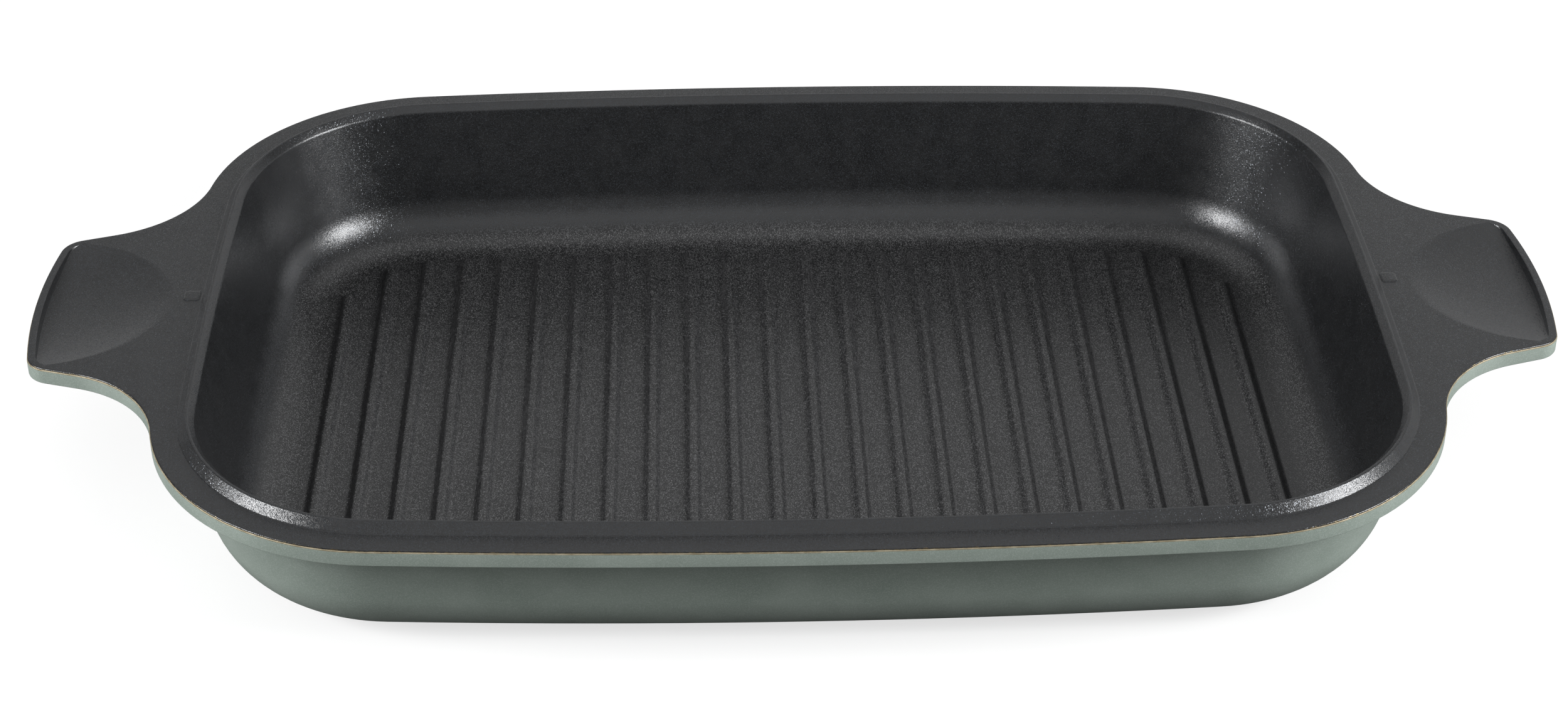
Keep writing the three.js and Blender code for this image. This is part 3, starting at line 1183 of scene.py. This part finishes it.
class NonstickLining(PanPiece):
    """The black coating over the bowl, its ribs, the lip and the tops of the flange and handles."""

    def build(self) -> bpy.types.Object:
        """Models the coating.

        Returns:
            The finished shape.
        """
        bowl = self._bowl()
        ribs = [self._rib(index) for index in range(self.sizes.rib.count)]
        floor = join_pieces("bowl", [bowl] + ribs)
        fill_level(floor, self.sizes.bowl.floor, Facing.UP)
        rims = [self._edge()]
        for end in End:
            rims.append(self._recess(end))
            rims.append(self._mark(end))
        piece = join_pieces("nonstick_coat", [floor] + rims)
        fill_level(piece, self.sizes.flange.top, Facing.UP)
        weld(piece)
        thicken(piece, self.sizes.coat.lining_thickness)
        finish_shape(piece)
        return piece

    def dress(self, piece: bpy.types.Object, finish: BlackNonstick) -> None:
        """Gives the coating its finish."""
        mount_piece(piece, finish.material(), "black_nonstick", "nonstick_lining")

    def _bowl(self) -> bpy.types.Object:
        """Returns the lip, wall and floor fillet, open at the flange and at the floor."""
        return swept("bowl", self.plan.rim, self.profiles.inner(), Facing.UP)

    def _rib_profile(self) -> list[Vector]:
        """Draws half the section of a rib.

        Returns:
            The profile from the level floor beside it to near its middle.
        """
        rib = self.sizes.rib
        floor = self.sizes.bowl.floor
        bank = (rib.foot_width - rib.top_width) / 2
        foot = rib.margin
        middle = rib.margin + (rib.foot_width - rib.crown_width) / 2
        return rounded_profile([
            ProfileCorner(0.0, floor),
            ProfileCorner(foot, floor, rib.foot_rounding),
            ProfileCorner(foot + bank, floor + rib.height, rib.top_rounding),
            ProfileCorner(middle, floor + rib.height + rib.crown),
        ])

    def _rib(self, index: int) -> bpy.types.Object:
        """Models one rib.

        Args:
            index: The rib's number, from the left.

        Returns:
            The rib, open below.
        """
        rib = self.sizes.rib
        x = (index - (rib.count - 1) / 2) * rib.pitch
        half_foot = rib.foot_width / 2
        radius = half_foot + rib.margin
        run = self.plan.half_width_at(x, rib.end_inset + half_foot)
        ring = []
        for side, start in ((1, 0.0), (-1, math.pi)):
            for step in range(rib.cap_steps + 1):
                angle = start + math.pi * step / rib.cap_steps
                ring.append(Vector((
                    x + radius * math.cos(angle),
                    side * run + radius * math.sin(angle),
                    self.sizes.bowl.floor,
                )))
        piece = add_ring("rib", ring)
        profile = self._rib_profile()
        inset_along(piece, profile, Facing.UP)
        fill_level(piece, profile[-1].y, Facing.UP)
        return piece

    def _edge(self) -> bpy.types.Object:
        """Models the rounded edge of the coating along the flange and handles.

        Returns:
            The edge, with its wear stored on it.
        """
        coat = self.sizes.coat
        top = self.sizes.flange.top
        lean = coat.edge_lean
        rounding = coat.edge_rounding * coat.edge_rounding_share
        level_start = coat.black_edge_inset + coat.edge_rounding + coat.flat_margin
        profile = rounded_profile([
            ProfileCorner(coat.black_edge_inset - lean, top - coat.black_edge_drop - lean),
            ProfileCorner(coat.black_edge_inset + lean, top, rounding),
            ProfileCorner(level_start, top),
        ])
        edge = swept("edge", self.plan.handled, profile, Facing.UP)
        wear = edge.data.attributes.new(BlackNonstick.edge_attribute, "FLOAT", "POINT")
        for vertex, value in zip(edge.data.vertices, wear.data):
            value.value = min(1.0, (top - vertex.co.z) / coat.black_edge_drop)
        return edge

    def _recess_border(self) -> list[EdgePoint]:
        """Finds the part of the handle's outline that borders the recess.

        Returns:
            Its points, from one crossing with the recess's oval round the tip to the other.
        """
        recess = self.sizes.recess
        inside = []
        for point in self.plan.handled:
            place = point.moved_in(recess.border)
            if place.x > 0 and self._oval_share(place) < 1.0:
                inside.append(point)
        inside.sort(key=lambda point: point.moved_in(recess.border).y)
        return [self._oval_crossing(-1)] + inside + [self._oval_crossing(1)]

    def _oval_share(self, place: Vector) -> float:
        """Measures how far out a place lies in the recess's oval.

        Args:
            place: The place, seen from above.

        Returns:
            The share of the way: 0 at the oval's middle and 1 on its edge.
        """
        recess = self.sizes.recess
        along = (self.plan.tip_reach - place.x) / recess.reach
        across = place.y / recess.half_width
        return math.hypot(along, across)

    def _oval_crossing(self, side: int) -> EdgePoint:
        """Finds where the border along a side of the handle meets the recess's oval.

        Args:
            side: The side of the handle: 1 toward +Y, -1 toward -Y.

        Returns:
            The point of the handle's side there.
        """
        recess = self.sizes.recess
        taper = math.radians(self.sizes.handle.taper_degrees)
        outward = Vector((math.sin(taper), side * math.cos(taper)))
        toward_root = Vector((-math.cos(taper), side * math.sin(taper)))
        start = Vector((self.plan.tip_reach, side * self.sizes.handle.tip_width / 2))
        near, far = 0.0, recess.reach
        for _ in range(HALVINGS):
            middle = (near + far) / 2
            if self._oval_share(start + toward_root * middle - outward * recess.border) < 1.0:
                near = middle
            else:
                far = middle
        return EdgePoint(start + toward_root * near, outward)

    def _even_border(self) -> list[EdgePoint]:
        """Divides the border of the recess evenly.

        Returns:
            Its points in even steps along its length.
        """
        points = self._recess_border()
        places = [point.moved_in(self.sizes.recess.border) for point in points]
        lengths = [0.0]
        for here, there in zip(places, places[1:]):
            lengths.append(lengths[-1] + (there - here).length)
        columns = self.sizes.recess.columns
        even = []
        for column in range(columns + 1):
            goal = lengths[-1] * column / columns
            index = max(i for i in range(len(lengths) - 1) if lengths[i] <= goal + LENGTH_TOLERANCE)
            share = (goal - lengths[index]) / (lengths[index + 1] - lengths[index])
            place = points[index].place.lerp(points[index + 1].place, share)
            outward = points[index].outward.lerp(points[index + 1].outward, share).normalized()
            even.append(EdgePoint(place, outward))
        return even

    def _recess(self, end: End) -> bpy.types.Object:
        """Models the thumb recess of one handle, with a level margin all round.

        Args:
            end: The end of the pan.

        Returns:
            The wall along the border and the dish, as one sheet.
        """
        recess = self.sizes.recess
        top = self.sizes.flange.top
        border = self._even_border()
        tip = Vector((self.plan.tip_reach, 0.0))
        start_angle = self._oval_angle(border[0].moved_in(recess.border))
        end_angle = self._oval_angle(border[-1].moved_in(recess.border))
        columns = []
        for column, point in enumerate(border):
            angle = start_angle + (end_angle - start_angle) * column / recess.columns
            along = math.cos(angle)
            across = math.sin(angle)
            rim = tip + Vector((-recess.reach * along, recess.half_width * across))
            beyond = Vector((-along / recess.reach, across / recess.half_width)).normalized()
            columns.append(self._recess_column(point, rim, beyond))
        rows = len(columns[0])
        deselect_all()
        bpy.ops.mesh.primitive_grid_add(x_subdivisions=recess.columns, y_subdivisions=rows - 1)
        piece = bpy.context.object
        piece.name = f"recess_{end.name.lower()}"
        for index, vertex in enumerate(piece.data.vertices):
            row, column = divmod(index, recess.columns + 1)
            place = columns[column][row]
            vertex.co = Vector((place.x * end.value, place.y, top + place.z))
        weld(piece)
        self._face_up(piece)
        return piece

    def _oval_angle(self, place: Vector) -> float:
        """Returns the angle of a place in the recess's oval, from the direction of the bowl."""
        recess = self.sizes.recess
        return math.atan2(place.y / recess.half_width, (self.plan.tip_reach - place.x) / recess.reach)

    def _sunk(self, place: Vector) -> float:
        """Returns the depth of the recess's dish at a place."""
        recess = self.sizes.recess
        return recess.depth * max(0.0, 1.0 - self._oval_share(place) ** recess.rim_power)

    def _recess_column(self, border: EdgePoint, rim: Vector, beyond: Vector) -> list[Vector]:
        """Draws one line across the recess.

        Args:
            border: The border's point where the line starts.
            rim: The point of the oval's edge where it ends.
            beyond: The direction out of the oval there.

        Returns:
            The points from the border over its wall and the dish to the oval's rim.
        """
        recess = self.sizes.recess
        fall = self._sunk(border.moved_in(recess.border))
        steep = min(1.0, fall / recess.depth * recess.steepness) ** recess.fade_power
        margin = recess.margin * steep
        line = [
            border.moved_in(recess.border - margin).to_3d(),
            border.moved_in(recess.border - margin / recess.margin_parts).to_3d(),
        ]
        for across, sunk in recess.wall_curve:
            place = border.moved_in(recess.border + recess.wall_width * across * steep).to_3d()
            place.z = -fall * sunk
            line.append(place)
        inner = border.moved_in(recess.border + recess.wall_width * recess.wall_foot * steep)
        for row in range(recess.dish_rows + 1):
            place = inner.lerp(rim, row / recess.dish_rows)
            line.append(Vector((place.x, place.y, -self._sunk(place))))
        line.append((rim + beyond * margin).to_3d())
        return line

    @staticmethod
    def _face_up(piece: bpy.types.Object) -> None:
        """Turns the faces of a shallow sheet so that they look up.

        Args:
            piece: The sheet.
        """
        with editing(piece, MeshPart.FACES, selected=True):
            bpy.ops.mesh.normals_make_consistent(inside=False)
        if sum(face.normal.z * face.area for face in piece.data.polygons) < 0:
            piece.data.flip_normals()

    def _mark(self, end: End) -> bpy.types.Object:
        """Models the low raised rectangle beside the lip at one end.

        Args:
            end: The end of the pan.

        Returns:
            The rectangle, open below.
        """
        mark = self.sizes.mark
        top = self.sizes.flange.top
        middle = Vector((end.value * (mark.start + mark.end) / 2, (mark.near_side + mark.far_side) / 2))
        half = Vector(((mark.end - mark.start) / 2, (mark.far_side - mark.near_side) / 2))
        radius = mark.rounding + mark.margin
        ring = []
        for quarter, signs in enumerate(QUARTER_SIGNS):
            centre = middle + Vector(signs) * (half - Vector((mark.rounding, mark.rounding)))
            for step in range(mark.corner_steps + 1):
                angle = math.pi / 2 * (quarter + step / mark.corner_steps)
                place = centre + Vector((math.cos(angle), math.sin(angle))) * radius
                ring.append(Vector((place.x, place.y, top)))
        piece = add_ring(f"mark_{end.name.lower()}", ring)
        profile = [Vector((0.0, top)), Vector((mark.margin, top))]
        for across, raised in mark.bank_curve:
            profile.append(Vector((mark.margin + mark.bank_width * across, top + mark.height * raised)))
        inset_along(piece, profile, Facing.UP)
        fill_level(piece, top + mark.height, Facing.UP)
        return piece


class PanCasting(PanPiece):
    """The aluminium casting under the coatings, bare along the flange's edge and round the base."""

    def build(self) -> bpy.types.Object:
        """Models the casting.

        Returns:
            The finished shape.
        """
        core = self.sizes.core
        parts = [self._edge_top(), self._edge_side(), self._inside(), self._outside()]
        piece = join_pieces("casting", parts)
        weld(piece)
        fill_level(piece, core.top, Facing.UP)
        fill_level(piece, self.sizes.bowl.floor - core.clearance, Facing.UP)
        fill_level(piece, self.sizes.flange.underside + core.clearance, Facing.DOWN)
        fill_level(piece, core.pocket_depth, Facing.DOWN)
        finish_shape(piece)
        return piece

    def dress(self, piece: bpy.types.Object, material: bpy.types.Material) -> None:
        """Gives the casting its finish."""
        mount_piece(piece, material, "cast_aluminium", "pan_casting")

    @property
    def _bare_start(self) -> float:
        """Returns the height at which the bare line starts, just behind the lower coating."""
        return self.sizes.flange.top - self.sizes.coat.bare_drop - self.sizes.core.tuck

    def _edge_top(self) -> bpy.types.Object:
        """Models the bare edge.

        Returns:
            The edge and the step that drops under the upper coating.
        """
        coat = self.sizes.coat
        core = self.sizes.core
        bead_top = self.sizes.flange.top - coat.black_edge_drop + core.bead_tuck
        profile = rounded_profile([
            ProfileCorner(coat.bare_inset, self._bare_start),
            ProfileCorner(coat.bare_inset + core.lean, bead_top, coat.bare_rounding),
            ProfileCorner(core.bead_width, bead_top),
            ProfileCorner(core.bead_width + core.step_width, core.top),
            ProfileCorner(core.bead_width + core.step_width + coat.flat_margin, core.top),
        ])
        return swept("edge_top", self.plan.handled, profile, Facing.UP)

    def _edge_side(self) -> bpy.types.Object:
        """Models the side of the flange behind the lower coating.

        Returns:
            The side and the start of the flange's underside.
        """
        coat = self.sizes.coat
        core = self.sizes.core
        under = self.sizes.flange.underside + core.clearance
        profile = rounded_profile([
            ProfileCorner(coat.bare_inset, self._bare_start),
            ProfileCorner(core.clearance, self._bare_start - core.side_tuck),
            ProfileCorner(core.clearance + core.lean, under, coat.lower_edge_rounding),
            ProfileCorner(core.clearance + coat.lower_edge_rounding + coat.flat_margin, under),
        ])
        return swept("edge_side", self.plan.handled, profile, Facing.DOWN)

    def _inside(self) -> bpy.types.Object:
        """Models the inside of the bowl, under the upper coating.

        Returns:
            The wall and the fillet of the floor.
        """
        bowl = self.sizes.bowl
        core = self.sizes.core
        floor = bowl.floor - core.clearance
        radius = bowl.floor_fillet + core.clearance
        behind = core.clearance / math.cos(bowl.draft)
        meeting = self.profiles.inner_wall_inset(floor) - behind
        wall_top = self.profiles.inner_wall_inset(core.top) - behind
        profile = rounded_profile([
            ProfileCorner(wall_top - bowl.floor_margin, core.top),
            ProfileCorner(wall_top, core.top),
            ProfileCorner(meeting, floor, radius, bowl.fillet_steps),
            ProfileCorner(meeting + self.profiles.fillet_touch(radius) + bowl.floor_margin, floor),
        ])
        return swept("inside", self.plan.rim, profile, Facing.UP)

    def _outside(self) -> bpy.types.Object:
        """Models the outside of the bowl, behind the lower coating.

        Returns:
            The wall, the bare ring of the base and the side of the plate's pocket.
        """
        bowl = self.sizes.bowl
        core = self.sizes.core
        under = self.sizes.flange.underside + core.clearance
        behind = core.clearance / math.cos(bowl.draft)
        radius = bowl.base_fillet - core.clearance
        wall_top = self.profiles.outer_wall_inset(under) + behind
        meeting = self.profiles.outer_wall_inset(core.clearance) + behind
        fillet_end = meeting + self.profiles.fillet_touch(radius)
        foot = self.profiles.base_inset() + core.foot_start
        pocket = self.profiles.base_inset() + self.sizes.plate.margin - core.pocket_clearance
        profile = rounded_profile([
            ProfileCorner(wall_top - bowl.under_rounding - core.clearance, under),
            ProfileCorner(wall_top, under, bowl.under_rounding),
            ProfileCorner(meeting, core.clearance, radius, bowl.fillet_steps),
            ProfileCorner(max(foot, fillet_end), core.clearance),
            ProfileCorner(max(foot, fillet_end) + core.foot_chamfer, 0.0, core.foot_rounding),
            ProfileCorner(pocket, 0.0, core.foot_rounding),
            ProfileCorner(pocket + core.lean, core.pocket_depth),
            ProfileCorner(pocket + core.lean + bowl.floor_margin, core.pocket_depth),
        ])
        return swept("outside", self.plan.rim, profile, Facing.DOWN)


class OuterCoat(PanPiece):
    """The coloured coating of the flange's edge, the undersides of the handles and the bowl's outside."""

    def build(self) -> bpy.types.Object:
        """Models the coating.

        Returns:
            The finished shape.
        """
        piece = join_pieces("outer_coat", [self._edge(), self._wall()])
        fill_level(piece, self.sizes.flange.underside, Facing.DOWN)
        weld(piece)
        thicken(piece, self.sizes.coat.enamel_thickness)
        finish_shape(piece)
        return piece

    def dress(self, piece: bpy.types.Object, finish: GreenCoating) -> None:
        """Gives the coating its finish."""
        mount_piece(piece, finish.material(), "green_coating", "outer_enamel")

    def _edge(self) -> bpy.types.Object:
        """Models the flange's edge.

        Returns:
            The edge, from the bare line down and in under the flange.
        """
        coat = self.sizes.coat
        flange = self.sizes.flange
        profile = rounded_profile([
            ProfileCorner(0.0, flange.top - coat.bare_drop),
            ProfileCorner(coat.edge_lean, flange.underside, coat.lower_edge_rounding),
            ProfileCorner(coat.lower_edge_rounding + coat.flat_margin, flange.underside),
        ])
        return swept("edge", self.plan.handled, profile, Facing.DOWN)

    def _wall(self) -> bpy.types.Object:
        """Returns the outside of the bowl, from the flange's underside to the base."""
        return swept("wall", self.plan.rim, self.profiles.outer(), Facing.DOWN)


class BasePlate(PanPiece):
    """The steel plate let into the base, with studs of the casting pressed through it."""

    def build(self) -> tuple[bpy.types.Object, bpy.types.Object]:
        """Models the plate and its studs.

        Returns:
            The plate and the studs.
        """
        return self._plate(), self._studs()

    def dress(
        self,
        plate: bpy.types.Object,
        studs: bpy.types.Object,
        steel: BrushedSteel,
        casting: bpy.types.Material,
    ) -> None:
        """Gives the plate its finish, and the studs that of the casting.

        Args:
            plate: The plate.
            studs: The studs.
            steel: The finish of the plate.
            casting: The material of the casting.
        """
        mount_piece(plate, steel.material(), "base_steel", "induction_plate")
        mount_piece(studs, casting, "cast_aluminium")

    def _plate(self) -> bpy.types.Object:
        """Models the plate.

        Returns:
            The plate, with a rounded lower edge.
        """
        plate = self.sizes.plate
        inset = self.profiles.base_inset() + plate.margin
        profile = rounded_profile([
            ProfileCorner(inset, plate.thickness),
            ProfileCorner(inset + plate.edge_lean, plate.face_height, plate.edge_rounding),
            ProfileCorner(inset + plate.face_start, plate.face_height),
        ])
        piece = swept("base_plate", self.plan.rim, profile, Facing.DOWN)
        fill_level(piece, plate.face_height, Facing.DOWN)
        fill_level(piece, plate.thickness, Facing.UP)
        finish_shape(piece)
        return piece

    def _studs(self) -> bpy.types.Object:
        """Models the studs, in staggered rows that keep clear of the plate's edge.

        Returns:
            All studs as one piece.
        """
        plate = self.sizes.plate
        rows = int(self.plan.half_width // plate.row_pitch)
        columns = int(self.plan.half_length // plate.stud_pitch) + 1
        limit = self.profiles.base_inset() + plate.margin + plate.stud_clear
        first = self._stud()
        studs = [first]
        for row in range(-rows, rows + 1):
            shift = plate.row_shift * (row % 2)
            for column in range(-columns, columns + 1):
                x = (column + shift) * plate.stud_pitch
                y = row * plate.row_pitch
                if not self._on_plate(x, y, limit):
                    continue
                copy = first.copy()
                copy.data = first.data.copy()
                copy.location = (x, y, 0.0)
                bpy.context.scene.collection.objects.link(copy)
                studs.append(copy)
        bpy.data.objects.remove(studs.pop(0))
        piece = join_pieces("base_studs", studs)
        make_active(piece)
        bpy.ops.object.transform_apply(location=True, rotation=True, scale=True)
        finish_shape(piece)
        return piece

    def _on_plate(self, x: float, y: float, inset: float) -> bool:
        """Tells whether a stud keeps clear of the plate's edge.

        Args:
            x: The stud's place along the pan.
            y: The stud's place across the pan.
            inset: The least inset from the flange's edge.

        Returns:
            Whether it does.
        """
        if abs(x) > self.plan.half_length - inset:
            return False
        return abs(y) < self.plan.half_width_at(x, inset)

    def _stud(self) -> bpy.types.Object:
        """Models one stud.

        Returns:
            The stud, with a rounded lower edge.
        """
        plate = self.sizes.plate
        deselect_all()
        bpy.ops.mesh.primitive_cylinder_add(
            vertices=plate.stud_sides,
            radius=plate.stud_radius,
            depth=plate.stud_height,
            location=(0.0, 0.0, plate.stud_height / 2),
        )
        stud = bpy.context.object
        stud.name = "stud"
        bpy.ops.object.transform_apply(location=True, rotation=True, scale=True)
        with editing(stud, MeshPart.EDGES, selected=False):
            shape = bmesh.from_edit_mesh(stud.data)
            for edge in shape.edges:
                edge.select_set(all(vertex.co.z < LEVEL_TOLERANCE for vertex in edge.verts))
            bmesh.update_edit_mesh(stud.data)
            bpy.ops.mesh.bevel(offset=plate.stud_rounding, segments=plate.stud_rounding_steps)
        return stud


# The studio


@dataclass(frozen=True)
class Softbox:
    """One soft lamp that looks at the pan. Lengths are in metres, and its power is in watts."""

    name: str
    azimuth_degrees: float
    elevation_degrees: float
    distance: float
    width: float
    height: float
    power: float

    def build(self) -> None:
        """Adds the lamp. Its azimuth is counter-clockwise from +X."""
        azimuth = math.radians(self.azimuth_degrees)
        elevation = math.radians(self.elevation_degrees)
        outward = Vector((
            math.cos(azimuth) * math.cos(elevation),
            math.sin(azimuth) * math.cos(elevation),
            math.sin(elevation),
        ))
        deselect_all()
        bpy.ops.object.light_add(type="AREA", location=outward * self.distance)
        lamp = bpy.context.object
        lamp.name = self.name
        lamp.rotation_euler = outward.to_track_quat("Z", "Y").to_euler()
        lamp.data.shape = "RECTANGLE"
        lamp.data.size = self.width
        lamp.data.size_y = self.height
        lamp.data.energy = self.power


@dataclass(frozen=True)
class Camera:
    """The camera, as it stood before the pan.

    Its place is in metres, its angles are in radians, and its sensor and lens are in millimetres.
    """

    place: Place = (-0.02636, -0.76156, 0.51973)
    yaw: float = 0.03092
    pitch: float = 0.57608
    roll: float = -0.00085
    sensor: float = 36.0
    lens: float = 70.37
    clip_start: float = 0.01

    def build(self) -> None:
        """Adds the camera, which becomes the scene's own."""
        forward = Vector((
            math.sin(self.yaw) * math.cos(self.pitch),
            math.cos(self.yaw) * math.cos(self.pitch),
            -math.sin(self.pitch),
        ))
        level = Vector((math.cos(self.yaw), -math.sin(self.yaw), 0.0))
        down = forward.cross(level)
        right = level * math.cos(self.roll) + down * math.sin(self.roll)
        upward = level * math.sin(self.roll) - down * math.cos(self.roll)
        deselect_all()
        bpy.ops.object.camera_add()
        camera = bpy.context.object
        camera.name = "camera"
        axes = Matrix((right, upward, -forward)).transposed()
        camera.matrix_world = Matrix.Translation(self.place) @ axes.to_4x4()
        camera.data.sensor_fit = "HORIZONTAL"
        camera.data.sensor_width = self.sensor
        camera.data.lens = self.lens
        camera.data.clip_start = self.clip_start
        bpy.context.scene.camera = camera


@dataclass
class Studio:
    """A white floor, a pale surrounding, soft lamps and the camera. Lengths are in metres."""

    floor_size: float = 9.0
    floor_drop: float = 0.0002
    floor_colour: Colour = paint(0.12, 0.12, 0.12)
    seen_floor_colour: Colour = paint(0.35, 0.35, 0.35)
    seen_floor_lift: float = 0.68
    world_colour: Colour = paint(1.0, 1.0, 1.0)
    bright_toward: Place = (0.26, 0.9, -0.66)
    dark_until: float = 0.05
    bright_from: float = 0.62
    dark_side: float = 0.07
    bright_side: float = 0.68
    softboxes: tuple[Softbox, ...] = (
        Softbox(
            "front_softbox", azimuth_degrees=-90.0, elevation_degrees=58.0,
            distance=1.2, width=0.9, height=0.95, power=2.0,
        ),
        Softbox(
            "low_front_softbox", azimuth_degrees=-90.0, elevation_degrees=18.0,
            distance=1.4, width=1.6, height=0.4, power=0.75,
        ),
        Softbox(
            "top_softbox", azimuth_degrees=90.0, elevation_degrees=68.0,
            distance=1.3, width=1.6, height=1.0, power=3.4,
        ),
        Softbox(
            "right_softbox", azimuth_degrees=-20.0, elevation_degrees=25.0,
            distance=1.2, width=0.36, height=0.5, power=17.0,
        ),
        Softbox(
            "left_softbox", azimuth_degrees=199.0, elevation_degrees=25.0,
            distance=1.2, width=0.36, height=0.5, power=15.0,
        ),
    )

    def build(self) -> None:
        """Sets up the floor, the surrounding, the lamps and the camera."""
        self._floor()
        self._surrounding()
        for softbox in self.softboxes:
            softbox.build()
            LOG.info("%s: %.0f W", softbox.name, softbox.power)
        Camera().build()
        bpy.context.scene.view_settings.view_transform = "Standard"

    def _floor(self) -> None:
        """Lays a plain white floor, which the camera sees a little lifted, with the pan's shadow on it."""
        deselect_all()
        bpy.ops.mesh.primitive_plane_add(size=self.floor_size, location=(0.0, 0.0, -self.floor_drop))
        floor = bpy.context.object
        floor.name = "floor"
        material = bpy.data.materials.new("white_floor")
        nodes = ShaderTree(material)
        matte = nodes.add("BsdfDiffuse", {"Color": self.floor_colour})["BSDF"]
        seen_matte = nodes.add("BsdfDiffuse", {"Color": self.seen_floor_colour})["BSDF"]
        glow = nodes.add("Emission", {"Strength": self.seen_floor_lift})["Emission"]
        seen = nodes.add("AddShader", {0: seen_matte, 1: glow})["Shader"]
        to_camera = nodes.add("LightPath", {})["Is Camera Ray"]
        either = nodes.add("MixShader", {0: to_camera, 1: matte, 2: seen})["Shader"]
        nodes.add("OutputMaterial", {"Surface": either})
        floor.data.materials.append(material)

    def _surrounding(self) -> None:
        """Lights the pan softly from low behind it, and less from all other sides. The camera sees white."""
        world = bpy.data.worlds.new("surrounding")
        bpy.context.scene.world = world
        nodes = ShaderTree(world)
        directions = {0: nodes.add("TexCoord", {})["Generated"], 1: self.bright_toward}
        toward = nodes.add("VectorMath", directions, operation="DOT_PRODUCT")["Value"]
        level = nodes.spread(toward, self.dark_until, self.bright_from, self.dark_side, self.bright_side)
        to_camera = nodes.add("LightPath", {})["Is Camera Ray"]
        strength = nodes.maths("MAXIMUM", level, to_camera)
        background = nodes.add("Background", {"Color": self.world_colour, "Strength": strength})
        nodes.add("OutputWorld", {"Surface": background["Background"]})


def main() -> None:
    """Builds the pan and the studio around it."""
    logging.basicConfig(level=logging.INFO, format="%(name)s: %(message)s")
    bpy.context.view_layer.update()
    sizes = PanSizes()
    plan = RimPlan(sizes.flange, sizes.handle)
    profiles = PanProfiles(sizes)

    lining = NonstickLining(sizes, plan, profiles)
    lining.dress(lining.build(), BlackNonstick())
    coat = OuterCoat(sizes, plan, profiles)
    coat.dress(coat.build(), GreenCoating())
    bare_metal = BareCasting().material()
    casting = PanCasting(sizes, plan, profiles)
    casting.dress(casting.build(), bare_metal)
    base = BasePlate(sizes, plan, profiles)
    plate, studs = base.build()
    base.dress(plate, studs, BrushedSteel(), bare_metal)

    Studio().build()


if __name__ == "__main__":
    main()
